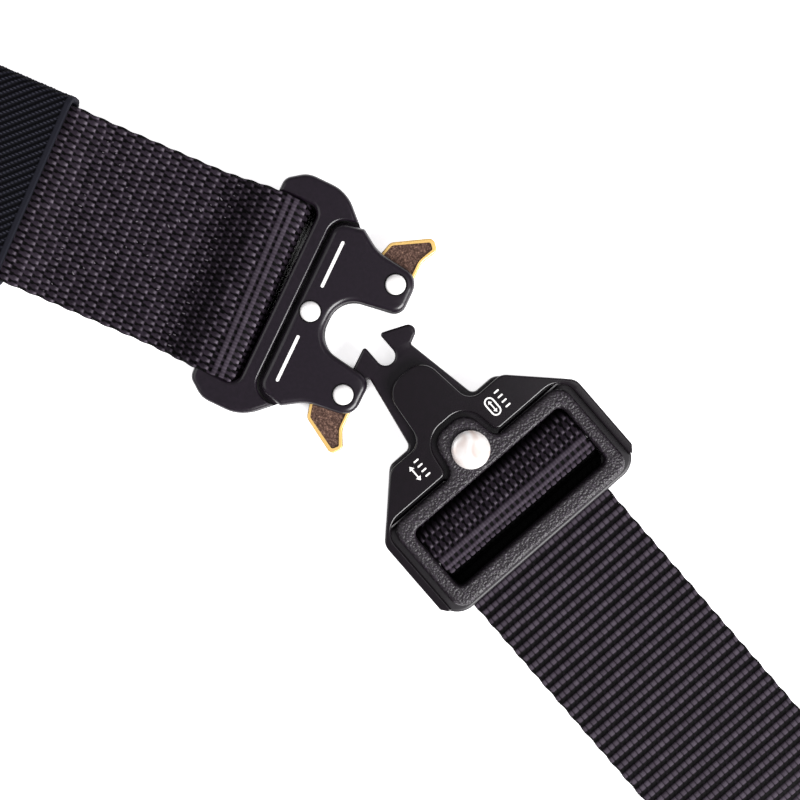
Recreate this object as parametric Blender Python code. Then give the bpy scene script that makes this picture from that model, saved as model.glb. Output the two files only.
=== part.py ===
"""Tactical belt: one woven strap and a quick-release buckle with two release levers.

The belt lies on a surface at z = 0 with its open buckle face up at the front, -Y.
The strap leaves both halves flat, turns onto its edge and closes the loop behind.
Each half of the buckle has its own axes: u runs along the belt towards the tongue's
strap, v runs across it, and z is up. All sizes below are in millimetres.
"""

import math

import bmesh
import bpy
from mathutils import Matrix, Vector

for leftover in list(bpy.data.objects):
    bpy.data.objects.remove(leftover, do_unlink=True)

MM = 0.001
GAP = 0.3

# Degrees of arc to a facet on outlines, bar sections and the strap's bends
OUTLINE_STEP = 19.0
BAR_STEP = 20.0
BEND_STEP = 22.0

# The two halves on the table
HALF_TURN = 11.8
SOCKET_AT = Vector((23.3, -78.3))
TONGUE_HALF_AT = SOCKET_AT + Vector((-43.0, 2.4))

# Strap
WEB_THICK = 2.0
SEWN_WIDTH = 38.4
SLOT_WIDTH = 38.4
FREE_WIDTH = 36.0
LOWER_LEG = WEB_THICK / 2
UPPER_LEG = LOWER_LEG + WEB_THICK + GAP
SOCKET_STRAP_TURN = 2.2
ADJUSTER_STRAP_TURN = 0.1
ADJUSTER_SHIFT = -1.9
SOCKET_PIVOT = (-13.15, -0.3)
ADJUSTER_PIVOT = (12.0, -0.45)
ENTRY_BEND_U = 17.7
ENTRY_BEND_RADIUS = 2.6
STRAP_EDGE = 0.45
SEWN_END = -88.0
SOCKET_FLAT_END = -101.0
TAIL_END = 90.0
ADJUSTER_FLAT_END = 101.0
LOOP_DEPTH = 182.0
TWIST_LENGTH = 150.0
BACK_STEPS = 2

# Twill keeper
KEEPER_START = -60.8
KEEPER_WIDTH = 25.0
KEEPER_THICK = 1.2
KEEPER_LIFT = KEEPER_THICK + GAP

# Socket half
BASE_TOP = 2.4
COVER_BOTTOM = 6.2
COVER_TOP = 8.4
SHELL_TOP = 7.4
BAR_HEIGHT = 4.15
BAR_RADIUS = 1.85
BAR_LEFT = -16.15
BAR_RIGHT = -11.35
STRAP_ROUND = -12.35
SLOT_END = 20.0
BAR_ROOTS = 1.6
WELL_GAP = 0.85
EAR_MARGIN = 0.15
EAR_PIVOT = (13.1, 12.2)
RIVET_HEAD = 2.05
RIVET_SHANK = 1.3
RIVET_COLLAR = 0.7
FOOT_BORE_DEPTH = 0.9
LINE_START = 5.25
LINE_END = 15.55
LINE_WIDTH = 0.75
LINE_DEPTH = 0.3

# Tongue half
PLATE_BOTTOM = 2.75
PLATE_TOP = 5.85
YOKE_BOTTOM = PLATE_TOP + GAP
YOKE_TOP = YOKE_BOTTOM + 2.0
FRAME_TOP = 8.5
YOKE_AXIS = -0.5
TONGUE_AXIS = -0.85
BOSS = (-0.7, -0.3)
BIG_HEAD = 3.9
BIG_SHANK = 2.5
GROOVE = 1.1
FLANGE_MARGIN = 0.15
STRAP_TUNNEL_TOP = UPPER_LEG + WEB_THICK / 2 + GAP
SLIDE_BIG = (12.1, 4.2, 1.9)
SLIDE_SMALL = (8.0, 3.5, 1.2)
SLIDE_REACH = 21.0
SLIDE_PLAY = 0.35


def material(name, colour, roughness, metallic):
    """A plain Principled material."""
    made = bpy.data.materials.new(name)
    made.use_nodes = True
    shader = made.node_tree.nodes["Principled BSDF"]
    shader.inputs["Base Color"].default_value = (*colour, 1.0)
    shader.inputs["Roughness"].default_value = roughness
    shader.inputs["Metallic"].default_value = metallic
    return made


def ease(value, start, end):
    """Smooth step from 0 at start to 1 at end."""
    t = min(max((value - start) / (end - start), 0.0), 1.0)
    return t * t * (3.0 - 2.0 * t)


def mirrored(corners, axis=0.0):
    """Close a half outline, given from v = axis upwards, with its mirror image."""
    return list(corners) + [(u, 2 * axis - v, r) for u, v, r in reversed(corners)]


def box_corners(u0, u1, v0, v1, radius=0.0):
    """Corners of a rectangle, counter-clockwise."""
    return [(u0, v0, radius), (u1, v0, radius), (u1, v1, radius), (u0, v1, radius)]


def disc(centre, radius, sides=20):
    """Corners of a round outline, counter-clockwise."""
    turn = 2 * math.pi / sides
    return [(centre[0] + radius * math.cos(turn * k),
             centre[1] + radius * math.sin(turn * k), 0.0) for k in range(sides)]


def signed_area(corners):
    """Area inside the corners, positive when they run counter-clockwise."""
    pairs = zip(corners, corners[1:] + corners[:1])
    return sum(a[0] * b[1] - b[0] * a[1] for a, b in pairs) / 2


def inset_corners(corners, inset):
    """Move every side inwards by inset, and keep the fillets concentric."""
    count = len(corners)
    side = 1.0 if signed_area(corners) > 0 else -1.0
    moved = []
    for k in range(count):
        here = Vector(corners[k][:2])
        into = (here - Vector(corners[k - 1][:2])).normalized()
        out = (Vector(corners[(k + 1) % count][:2]) - here).normalized()
        inward_in = Vector((-into.y, into.x)) * side
        inward_out = Vector((-out.y, out.x)) * side
        bisector = inward_in + inward_out
        here = here + bisector * (2 * inset / bisector.length_squared)
        convex = (into.x * out.y - into.y * out.x) * side > 0
        radius = corners[k][2]
        if radius > 0:
            radius = max(radius - inset if convex else radius + inset, 0.05)
        moved.append((here.x, here.y, radius))
    return moved


def filleted(corners):
    """Points of the outline, with each rounded corner as an arc of fixed steps."""
    points = []
    count = len(corners)
    for k in range(count):
        here = Vector(corners[k][:2])
        radius = corners[k][2]
        to_last = (Vector(corners[k - 1][:2]) - here).normalized()
        to_next = (Vector(corners[(k + 1) % count][:2]) - here).normalized()
        if radius == 0.0:
            points.append(here)
            continue
        opening = to_last.angle(to_next)
        turn = math.pi - opening
        reach = radius * math.tan(turn / 2)
        centre = here + (to_last + to_next).normalized() * (radius / math.cos(turn / 2))
        start = here + to_last * reach - centre
        handed = 1.0 if to_last.cross(to_next) < 0 else -1.0
        steps = max(2, round(math.degrees(turn) / OUTLINE_STEP))
        for step in range(steps + 1):
            swing = Matrix.Rotation(handed * turn * step / steps, 2)
            points.append(centre + swing @ start)
    return points


def finish(mesh, name, look, home, place, smooth=35):
    """Put a mesh in an object, with its material, under its half of the buckle."""
    mesh.materials.append(look)
    mesh.shade_smooth()
    mesh.set_sharp_from_angle(angle=math.radians(smooth))
    made = bpy.data.objects.new(name, mesh)
    bpy.context.scene.collection.objects.link(made)
    made.parent = home
    made.matrix_basis = place
    return made


def plate(name, outer, holes, levels, look=None, home=None, place=Matrix(), hole_share=0.3):
    """A plate from outlines: levels lists (height, inset) from the bottom up.

    Holes widen by hole_share of each level's inset.
    """
    body = bmesh.new()
    stacks = []
    for corners, sign in [(outer, 1.0)] + [(hole, -hole_share) for hole in holes]:
        rings = []
        for height, inset in levels:
            points = filleted(inset_corners(corners, sign * inset))
            rings.append([body.verts.new((p.x * MM, p.y * MM, height * MM)) for p in points])
        stacks.append(rings)
    for rings in stacks:
        for low, high in zip(rings, rings[1:]):
            for k in range(len(low)):
                n = (k + 1) % len(low)
                body.faces.new((low[k], low[n], high[n], high[k]))
    for end in (0, -1):
        rim = []
        for rings in stacks:
            ring = rings[end]
            rim += [body.edges.get((ring[k - 1], ring[k])) for k in range(len(ring))]
        bmesh.ops.triangle_fill(body, edges=rim, use_beauty=True)
    bmesh.ops.recalc_face_normals(body, faces=body.faces)
    mesh = bpy.data.meshes.new(name)
    body.to_mesh(mesh)
    body.free()
    return finish(mesh, name, look or GUIDE, home, place)


def turned(name, profile, centre, look, home, sides=20):
    """A round piece from (radius, height) rows, from its foot to its crown."""
    body = bmesh.new()
    foot = body.verts.new((centre[0] * MM, centre[1] * MM, profile[0][1] * MM))
    crown = body.verts.new((centre[0] * MM, centre[1] * MM, profile[-1][1] * MM))
    rings = []
    for radius, height in profile[1:-1]:
        points = disc(centre, radius, sides)
        rings.append([body.verts.new((u * MM, v * MM, height * MM)) for u, v, _ in points])
    for low, high in zip(rings, rings[1:]):
        for k in range(sides):
            body.faces.new((low[k - 1], low[k], high[k], high[k - 1]))
    for k in range(sides):
        body.faces.new((rings[0][k], rings[0][k - 1], foot))
        body.faces.new((rings[-1][k - 1], rings[-1][k], crown))
    bmesh.ops.recalc_face_normals(body, faces=body.faces)
    mesh = bpy.data.meshes.new(name)
    body.to_mesh(mesh)
    body.free()
    return finish(mesh, name, look, home, Matrix())


def combine(target, other, operation):
    """Join other to target or cut it away, and keep other as a hidden guide."""
    step = target.modifiers.new(other.name, "BOOLEAN")
    step.operation = operation
    step.solver = "EXACT"
    step.object = other
    other.hide_render = True
    other.display_type = "WIRE"


def along_v(middle):
    """Axes of a bar's section: outline in (u, z), height across the belt."""
    return Matrix(((1, 0, 0, 0), (0, 0, -1, middle * MM), (0, 1, 0, 0), (0, 0, 0, 1)))


def along_u(start):
    """Axes of a band round the strap: outline in (v, z), height along the belt."""
    return Matrix(((0, 0, 1, start * MM), (1, 0, 0, 0), (0, 1, 0, 0), (0, 0, 0, 1)))


def wedge_section(big, small):
    """Outline round two circles of (u, z, radius): a bar with one thick edge."""
    reach = Vector((small[0] - big[0], small[1] - big[1]))
    facing = math.atan2(reach.y, reach.x)
    lean = math.acos((big[2] - small[2]) / reach.length)
    corners = []
    for (u, z, radius), first, sweep in ((big, facing + lean, 2 * (math.pi - lean)),
                                         (small, facing - lean, 2 * lean)):
        steps = max(3, round(math.degrees(sweep) / BAR_STEP))
        for k in range(steps + 1):
            angle = first + sweep * k / steps
            corners.append((u + radius * math.cos(angle), z + radius * math.sin(angle), 0.0))
    return corners


def half(name, at, heading):
    """An empty that carries one half of the buckle."""
    made = bpy.data.objects.new(name, None)
    bpy.context.scene.collection.objects.link(made)
    made.location = (at.x * MM, at.y * MM, 0.0)
    made.rotation_euler.z = math.radians(heading)
    return made


GUIDE = material("guide", (0.5, 0.5, 0.5), 0.5, 0.0)
NYLON = material("nylon_webbing", (0.022, 0.020, 0.022), 0.75, 0.0)
TWILL = material("twill_band", (0.010, 0.011, 0.018), 0.7, 0.0)
CAST_BLACK = material("satin_black_casting", (0.024, 0.021, 0.028), 0.35, 0.4)
COVER_BLACK = material("satin_black_cover", (0.024, 0.021, 0.028), 0.3, 0.4)
GLOSS_BLACK = material("gloss_black_plate", (0.015, 0.013, 0.016), 0.18, 0.3)
WRINKLE_BLACK = material("wrinkle_black_frame", (0.026, 0.024, 0.026), 0.55, 0.1)
BRASS = material("brass_lever", (0.55, 0.36, 0.13), 0.3, 1.0)
BRIGHT_STEEL = material("polished_rivet", (0.85, 0.84, 0.83), 0.12, 1.0)

SOCKET = half("socket_half", SOCKET_AT, 180 + HALF_TURN)
TONGUE_HALF = half("tongue_half", TONGUE_HALF_AT, 180 - HALF_TURN)

# Outlines: corners as (u, v, fillet radius), from the middle line outwards
SHELL = mirrored([(2.3, 19.1, 0.3), (-3.8, 25.05, 8.0), (-12.4, 25.05, 5.0),
                  (-16.3, 22.15, 1.2), (-16.3, SLOT_END, 0.7), (-7.2, SLOT_END, 2.2)])
COVER = mirrored([(3.85, 5.2, 5.3), (16.75, 7.2, 2.7), (16.75, 15.6, 3.4),
                  (7.0, 16.75, 8.0), (2.7, 19.6, 0.5), (-3.0, 18.5, 2.8)])
LEVER = [(15.85, 9.3, 2.6), (6.0, 8.8, 1.2), (6.2, 12.3, 1.2), (9.0, 13.2, 0.8),
         (7.6, 16.6, 0.8), (8.4, 19.6, 1.6), (15.6, 23.9, 0.8), (17.5, 22.1, 0.7),
         (15.85, 18.6, 4.0)]
LEVER_RECESS = [(15.2, 14.5, 0.2), (9.2, 14.5, 0.2), (8.3, 16.8, 0.4), (8.95, 19.15, 1.0),
                (15.55, 23.05, 0.3), (16.75, 21.95, 0.3), (15.2, 18.7, 3.5)]
YOKE_OPENING = [(-8.4, 4.9, 4.9), (-0.2, 6.2, 1.4), (-0.2, 23.1, 4.2)]
YOKE_OUTSIDE = [(21.0, 23.1, 0.1), (21.0, 23.8, 0.5), (19.6, 24.9, 0.8), (2.5, 24.9, 3.0),
                (-8.1, 14.2, 2.8), (-8.1, 5.9, 3.2), (-21.0, 4.4, 4.2)]
ADJUSTER_SLOT = box_corners(4.3, 19.0, -20.1, 19.2, 1.7)
STRAP_TUNNEL = box_corners(18.0, 25.0, -20.7, 19.3)
TONGUE_SEAT = mirrored([(4.6, 7.1, 0.0), (0.9, 7.1, 0.0), (0.9, 12.0, 0.0), (-9.0, 12.0, 0.0)], TONGUE_AXIS)
TONGUE = mirrored([(-24.2, 1.1, 1.9), (-30.2, 1.1, 0.35), (-26.9, 9.4, 1.45),
                   (-24.6, 4.6, 0.4), (-8.8, 7.5, 1.5), (-8.8, 13.05, 2.5),
                   (0.7, 22.35, 0.3), (0.7, 6.5, 0.4), (3.9, 5.85, 1.5)], TONGUE_AXIS)
FLANGE = mirrored([(1.0, 22.3, 0.3), (2.9, 24.45, 1.5), (23.6, 24.45, 4.8)], YOKE_AXIS)

# Socket half: the casting with the strap bar, and the lower ear plate
socket_frame = plate(
    "socket_frame", SHELL, [],
    [(0.1, 0.6), (0.6, 0.0), (6.2, 0.0), (7.0, 0.45), (SHELL_TOP, 1.2)],
    CAST_BLACK, SOCKET)
bar_section = box_corners(BAR_LEFT, BAR_RIGHT, BAR_HEIGHT - BAR_RADIUS,
                          BAR_HEIGHT + BAR_RADIUS, BAR_RADIUS - 0.05)
bar_reach = SLOT_END + BAR_ROOTS
strap_bar = plate("strap_bar", bar_section, [], [(-bar_reach, 0.0), (bar_reach, 0.0)],
                  home=SOCKET, place=along_v(0.0))
ear_plate = plate("ear_plate", inset_corners(COVER, -EAR_MARGIN), [],
                  [(0.0, 0.4), (0.4, 0.0), (2.0, 0.0), (BASE_TOP, 0.4)], home=SOCKET)
well = plate("cover_well", inset_corners(COVER, -WELL_GAP), [],
             [(BASE_TOP + 0.1, 0.0), (SHELL_TOP + 2.0, 0.0)], home=SOCKET)
combine(socket_frame, strap_bar, "UNION")
combine(socket_frame, well, "DIFFERENCE")
combine(socket_frame, ear_plate, "UNION")

RIVETS = {"rivet_centre": (0.0, 0.0),
          "rivet_ear_upper": EAR_PIVOT,
          "rivet_ear_lower": (EAR_PIVOT[0], -EAR_PIVOT[1])}
for rivet_name, spot in RIVETS.items():
    bore = plate(rivet_name + "_bore", disc(spot, RIVET_SHANK + GAP, 12), [],
                 [(-1.0, 0.0), (BASE_TOP + 1.0, 0.0)], home=SOCKET)
    combine(socket_frame, bore, "DIFFERENCE")
    foot_bore = plate(rivet_name + "_foot_bore", disc(spot, RIVET_HEAD + GAP), [],
                      [(-1.0, 0.0), (FOOT_BORE_DEPTH, 0.0)], home=SOCKET)
    combine(socket_frame, foot_bore, "DIFFERENCE")
    turned(rivet_name,
           [(0, 0.1), (1.7, 0.1), (RIVET_HEAD, 0.35), (RIVET_HEAD, 0.6), (RIVET_SHANK, 0.6),
            (RIVET_SHANK, COVER_TOP - RIVET_COLLAR), (RIVET_HEAD, COVER_TOP - RIVET_COLLAR),
            (RIVET_HEAD, COVER_TOP), (1.85, COVER_TOP + 0.25), (1.2, COVER_TOP + 0.45),
            (0, COVER_TOP + 0.5)],
           spot, BRIGHT_STEEL, SOCKET)

socket_cover = plate(
    "socket_cover", COVER,
    [disc(spot, RIVET_SHANK + GAP, 12) for spot in RIVETS.values()],
    [(COVER_BOTTOM, 0.25), (COVER_BOTTOM + 0.25, 0.0), (COVER_TOP - 0.7, 0.0),
     (COVER_TOP - 0.25, 0.2), (COVER_TOP, 0.6)],
    COVER_BLACK, SOCKET)
for rivet_name, spot in RIVETS.items():
    seat = plate(rivet_name + "_seat", disc(spot, RIVET_HEAD + GAP), [],
                 [(COVER_TOP - RIVET_COLLAR - GAP, 0.0), (COVER_TOP + 1.0, 0.0)], home=SOCKET)
    combine(socket_cover, seat, "DIFFERENCE")
for side in (-1, 1):
    middle = side * (LINE_START + LINE_END) / 2
    reach = (LINE_END - LINE_START) / 2
    groove = plate("line_groove", box_corners(-LINE_WIDTH / 2, LINE_WIDTH / 2, middle - reach,
                                              middle + reach, LINE_WIDTH / 2 - 0.01), [],
                   [(COVER_TOP - LINE_DEPTH, 0.0), (COVER_TOP + 1.0, 0.0)], home=SOCKET)
    combine(socket_cover, groove, "DIFFERENCE")

# Release levers, each with its origin on its rivet
for lever_name, side in (("lever_upper", 1), ("lever_lower", -1)):
    pivot = Matrix.Translation((EAR_PIVOT[0] * MM, side * EAR_PIVOT[1] * MM, 0))
    outline = [(u - EAR_PIVOT[0], side * (v - EAR_PIVOT[1]), r) for u, v, r in LEVER]
    recess = [(u - EAR_PIVOT[0], side * (v - EAR_PIVOT[1]), r) for u, v, r in LEVER_RECESS]
    lever = plate(lever_name, outline, [disc((0, 0), RIVET_SHANK + GAP, 16)],
                  [(PLATE_BOTTOM, 0.3), (PLATE_BOTTOM + 0.3, 0.0), (PLATE_TOP - 0.3, 0.0),
                   (PLATE_TOP, 0.3)],
                  BRASS, SOCKET, pivot)
    hollow = plate(lever_name + "_recess", recess, [],
                   [(PLATE_TOP - 0.35, 0.0), (PLATE_TOP + 1.0, 0.0)], home=SOCKET, place=pivot)
    combine(lever, hollow, "DIFFERENCE")

# Tongue half: barbed plate, yoke, adjuster and rivet
boss_bore = disc(BOSS, BIG_SHANK + GAP, 24)
plate("tongue", TONGUE, [boss_bore],
      [(PLATE_BOTTOM, 0.35), (PLATE_BOTTOM + 0.35, 0.0), (PLATE_TOP - 0.35, 0.0),
       (PLATE_TOP, 0.35)],
      CAST_BLACK, TONGUE_HALF)
yoke = mirrored(YOKE_OPENING + YOKE_OUTSIDE, YOKE_AXIS)
plate("yoke_plate", yoke, [],
      [(YOKE_BOTTOM, 0.2), (YOKE_BOTTOM + 0.2, 0.0), (YOKE_TOP - 0.5, 0.0), (YOKE_TOP - 0.15, 0.15),
       (YOKE_TOP, 0.45)],
      GLOSS_BLACK, TONGUE_HALF)

opening = mirrored(YOKE_OPENING + [(23.7, 23.1, 4.1)], YOKE_AXIS)
raised = inset_corners(opening, GROOVE)
adjuster = plate(
    "adjuster_frame", raised, [ADJUSTER_SLOT],
    [(4.9, 0.0), (FRAME_TOP - 1.0, 0.0), (FRAME_TOP - 0.4, 0.15), (FRAME_TOP - 0.1, 0.5),
     (FRAME_TOP, 0.95)],
    WRINKLE_BLACK, TONGUE_HALF, hole_share=0.7)
tongue_seat = plate("tongue_seat", TONGUE_SEAT, [], [(-1.0, 0.0), (YOKE_BOTTOM, 0.0)],
                    home=TONGUE_HALF)
flange = plate("flange", FLANGE, [inset_corners(ADJUSTER_SLOT, -FLANGE_MARGIN)],
               [(0.0, 0.5), (0.5, 0.0), (PLATE_TOP - 0.5, 0.0), (PLATE_TOP, 0.5)],
               home=TONGUE_HALF)
tunnel = plate("strap_tunnel", STRAP_TUNNEL, [], [(-1.0, 0.0), (STRAP_TUNNEL_TOP, 0.0)],
               home=TONGUE_HALF)
pocket_reach = SLIDE_REACH + SLIDE_PLAY
pocket_corners = box_corners(SLIDE_SMALL[0] - SLIDE_SMALL[2] - GAP, SLIDE_BIG[0] + SLIDE_BIG[2] + GAP,
                             YOKE_AXIS - pocket_reach, YOKE_AXIS + pocket_reach)
bar_pocket = plate("bar_pocket", pocket_corners, [],
                   [(-1.0, 0.0), (SLIDE_BIG[1] + SLIDE_BIG[2] + GAP, 0.0)], home=TONGUE_HALF)
rivet_bore = plate("boss_bore", boss_bore, [], [(4.0, 0.0), (10.0, 0.0)], home=TONGUE_HALF)
combine(adjuster, flange, "UNION")
combine(adjuster, tongue_seat, "DIFFERENCE")
combine(adjuster, tunnel, "DIFFERENCE")
combine(adjuster, bar_pocket, "DIFFERENCE")
combine(adjuster, rivet_bore, "DIFFERENCE")

head = FRAME_TOP + GAP
turned("tongue_rivet",
       [(0, 1.3), (3.0, 1.3), (3.4, 1.6), (3.4, PLATE_BOTTOM - GAP), (BIG_SHANK, PLATE_BOTTOM - GAP),
        (BIG_SHANK, head), (BIG_HEAD - 0.15, head), (BIG_HEAD, head + 0.2), (BIG_HEAD - 0.15, head + 0.5),
        (3.1, head + 0.85), (1.8, head + 1.05), (0, head + 1.1)],
       BOSS, BRIGHT_STEEL, TONGUE_HALF, 28)


def pulley_points(pins, start, end):
    """A strap's middle line in (u, z) round pins of (u, z, radius, turn), turn +1 or -1.

    The line goes straight from start to the first pin, from pin to pin, and to end.
    """
    stops = [(*start, 0.0, 1)] + pins + [(*end, 0.0, 1)]
    tangents = []
    for (u0, z0, r0, s0), (u1, z1, r1, s1) in zip(stops, stops[1:]):
        span = Vector((u1 - u0, z1 - z0))
        lean = math.atan2(span.y, span.x) + math.asin((s0 * r0 - s1 * r1) / span.length)
        side = Vector((math.sin(lean), -math.cos(lean)))
        tangents.append((Vector((u0, z0)) + side * s0 * r0, Vector((u1, z1)) + side * s1 * r1))
    points = [Vector(start)]
    for (u, z, _, way), (_, arrive), (leave, _) in zip(pins, tangents, tangents[1:]):
        centre = Vector((u, z))
        first = arrive - centre
        last = leave - centre
        sweep = math.atan2(first.cross(last), first.dot(last)) % (way * 2 * math.pi)
        steps = max(1, round(abs(math.degrees(sweep)) / BEND_STEP))
        for step in range(steps + 1):
            points.append(centre + Matrix.Rotation(sweep * step / steps, 2) @ first)
    return points + [Vector(end)]


def spaced(start, end, step):
    """Values from start to end, both included, about a step apart."""
    count = max(1, round(abs(end - start) / step))
    return [start + (end - start) * k / count for k in range(count + 1)]


def keeper_lift(u):
    """How far the sewn end rises to clear the keeper's lower run."""
    left = KEEPER_START - KEEPER_WIDTH
    return KEEPER_LIFT * ease(u, -52.0, KEEPER_START + 0.8) * (1 - ease(u, left - 2.0, left - 11.0))


def socket_route():
    """(u, z) from the strap's sewn end, round the socket's bar, out to the loop."""
    wrap = BAR_RADIUS + GAP + WEB_THICK / 2
    crown = BAR_HEIGHT + wrap
    route = [(u, LOWER_LEG + keeper_lift(u)) for u in spaced(SEWN_END, -50.0, 4.2)]
    route.append((STRAP_ROUND, LOWER_LEG))
    for k in range(1, 9):
        swing = math.radians(-90 + 22.5 * k)
        route.append((STRAP_ROUND + wrap * math.cos(swing), BAR_HEIGHT + wrap * math.sin(swing)))
    for u in spaced(STRAP_ROUND, -29.2, 3.2)[1:] + spaced(-33.5, SOCKET_FLAT_END, 4.5):
        fall = (crown - UPPER_LEG) * ease(u, -14.8, -27.0)
        landing = (UPPER_LEG - LOWER_LEG) * ease(u, SEWN_END - 1.5, SOCKET_FLAT_END + 1.0)
        route.append((u, crown - fall - landing + keeper_lift(u)))
    return route


def adjuster_route():
    """(u, z) from the loop, over the slide bar and back below, to the tail's end."""
    offset = GAP + WEB_THICK / 2
    route = []
    for u in spaced(ADJUSTER_FLAT_END, TAIL_END, 3.7):
        route.append((u, LOWER_LEG + (UPPER_LEG - LOWER_LEG) * ease(u, ADJUSTER_FLAT_END, TAIL_END)))
    route.append((24.0, UPPER_LEG))
    pins = [(ENTRY_BEND_U, UPPER_LEG + ENTRY_BEND_RADIUS, ENTRY_BEND_RADIUS, -1),
            (SLIDE_BIG[0], SLIDE_BIG[1], SLIDE_BIG[2] + offset, 1),
            (SLIDE_SMALL[0], SLIDE_SMALL[1], SLIDE_SMALL[2] + offset, 1)]
    wrapped = pulley_points(pins, (22.0, UPPER_LEG), (16.0, LOWER_LEG))
    route += [(p.x, p.y) for p in wrapped]
    return route + [(TAIL_END, LOWER_LEG)]


def strap_axes(at, heading, pivot, turn):
    """World origin and axes of a strap that is turned a little in its half."""
    swing = Matrix.Rotation(math.radians(heading), 2)
    lean = Matrix.Rotation(math.radians(turn), 2)
    origin = at + swing @ Vector(pivot)
    return origin, swing @ lean @ Vector((1, 0)), swing @ lean @ Vector((0, 1))


def flat_stations(route, axes, pivot_u, shift, width):
    """Sweep stations of a route: centre, direction across the strap and width."""
    origin, along, across = axes
    stations = []
    for u, z in route:
        spot = origin + along * (u - pivot_u) + across * shift(u)
        stations.append((Vector((spot.x, spot.y, z)), Vector((across.x, across.y, 0)), width(u)))
    return stations


def side_stations(start, heading, target, width):
    """The strap from flat to its edge, from start to the straight line at the back."""
    samples = 403
    keep = 13
    turns = [heading + (target - heading) * ease(k / samples, 0, 1) for k in range(samples + 1)]
    rise = sum(math.sin(turn) for turn in turns) / samples
    step = (SOCKET_AT.y + LOOP_DEPTH - start.y) / rise / samples
    outside = 1 if target > heading else -1
    stations = []
    spot = start.copy()
    for k, turn in enumerate(turns):
        if k > 0 and (k % keep == 0 or k == samples):
            tilt = math.pi / 2 * ease(k * step, 0, TWIST_LENGTH)
            out = Vector((math.sin(turn), -math.cos(turn), 0)) * outside
            across = out * math.cos(tilt) - Vector((0, 0, math.sin(tilt)))
            height = LOWER_LEG * math.cos(tilt) + width / 2 * math.sin(tilt)
            stations.append((Vector((spot.x, spot.y, height)), across, width))
        spot = spot + Vector((math.cos(turn), math.sin(turn))) * step
    return stations


def swept_strap(name, stations, look):
    """A strap with softened edges along the stations."""
    body = bmesh.new()
    thick = WEB_THICK / 2
    soft = STRAP_EDGE
    rings = []
    for k, (centre, across, width) in enumerate(stations):
        before = stations[max(k - 1, 0)][0]
        after = stations[min(k + 1, len(stations) - 1)][0]
        forward = (after - before).normalized()
        outward = across.cross(forward).normalized()
        edge = width / 2
        section = [(-edge, soft - thick), (soft - edge, -thick), (edge - soft, -thick),
                   (edge, soft - thick), (edge, thick - soft), (edge - soft, thick),
                   (soft - edge, thick), (-edge, thick - soft)]
        rings.append([body.verts.new((centre + across * b + outward * n) * MM) for b, n in section])
    for low, high in zip(rings, rings[1:]):
        for k in range(len(low)):
            body.faces.new((low[k - 1], low[k], high[k], high[k - 1]))
    body.faces.new(rings[0])
    body.faces.new(list(reversed(rings[-1])))
    bmesh.ops.recalc_face_normals(body, faces=body.faces)
    mesh = bpy.data.meshes.new(name)
    body.to_mesh(mesh)
    body.free()
    return finish(mesh, name, look, None, Matrix(), 60)


# Strap: sewn end and socket, right side, back, left side, adjuster and tail
socket_axes = strap_axes(SOCKET_AT, 180 + HALF_TURN, SOCKET_PIVOT, SOCKET_STRAP_TURN)
adjuster_axes = strap_axes(TONGUE_HALF_AT, 180 - HALF_TURN, ADJUSTER_PIVOT, ADJUSTER_STRAP_TURN)
socket_part = flat_stations(socket_route(), socket_axes, SOCKET_PIVOT[0],
                            lambda u: 0.0, lambda u: SEWN_WIDTH)
adjuster_part = flat_stations(adjuster_route(), adjuster_axes, ADJUSTER_PIVOT[0],
                              lambda u: ADJUSTER_SHIFT * ease(u, 17.5, 24.0),
                              lambda u: SLOT_WIDTH + (FREE_WIDTH - SLOT_WIDTH) * ease(u, 17.5, 24.0))
leaving = math.radians(HALF_TURN + SOCKET_STRAP_TURN)
arriving = math.radians(180 - HALF_TURN + ADJUSTER_STRAP_TURN)
right_side = side_stations(socket_part[-1][0].xy, leaving, math.pi, SEWN_WIDTH)
left_side = side_stations(adjuster_part[0][0].xy, arriving, 0.0, FREE_WIDTH)
back_from = right_side[-1][0]
back_to = left_side[-1][0]
back = []
for k in range(1, BACK_STEPS):
    share = k / BACK_STEPS
    width = SEWN_WIDTH + (FREE_WIDTH - SEWN_WIDTH) * share
    back.append((back_from.lerp(back_to, share), Vector((0, 0, -1)), width))
swept_strap("belt_webbing", socket_part + right_side + back + left_side[::-1] + adjuster_part, NYLON)

# Keeper round the sewn end
keeper_half = SEWN_WIDTH / 2 + GAP
keeper_roof = KEEPER_LIFT + 2 * WEB_THICK + 2 * GAP
keeper_hole = box_corners(-keeper_half, keeper_half, KEEPER_THICK, keeper_roof, 0.8)
keeper_pivot = Matrix.Translation((SOCKET_PIVOT[0] * MM, SOCKET_PIVOT[1] * MM, 0))
keeper_turn = keeper_pivot @ Matrix.Rotation(math.radians(SOCKET_STRAP_TURN), 4, "Z")
plate("keeper_band", inset_corners(keeper_hole, -KEEPER_THICK), [keeper_hole],
      [(0.0, 0.35), (0.35, 0.0), (KEEPER_WIDTH - 0.35, 0.0), (KEEPER_WIDTH, 0.35)],
      TWILL, SOCKET, keeper_turn @ along_u(KEEPER_START - KEEPER_WIDTH - SOCKET_PIVOT[0]),
      hole_share=1.0)

# Slide bar in the adjuster
slide_ends = [(-SLIDE_REACH, 0.3), (0.3 - SLIDE_REACH, 0.0), (SLIDE_REACH - 0.3, 0.0),
              (SLIDE_REACH, 0.3)]
plate("slide_bar", wedge_section(SLIDE_BIG, SLIDE_SMALL), [], slide_ends,
      GLOSS_BLACK, TONGUE_HALF, along_v(YOKE_AXIS))
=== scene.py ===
"""A webbing belt with an open quick-release buckle, lying face up on a pale table.

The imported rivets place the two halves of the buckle. Each half has its own axes, in
millimetres from its own origin: u runs along the belt, v across it and z is up.
"""

import math

import bmesh
import bpy
import numpy as np
from mathutils import Matrix, Vector


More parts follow.
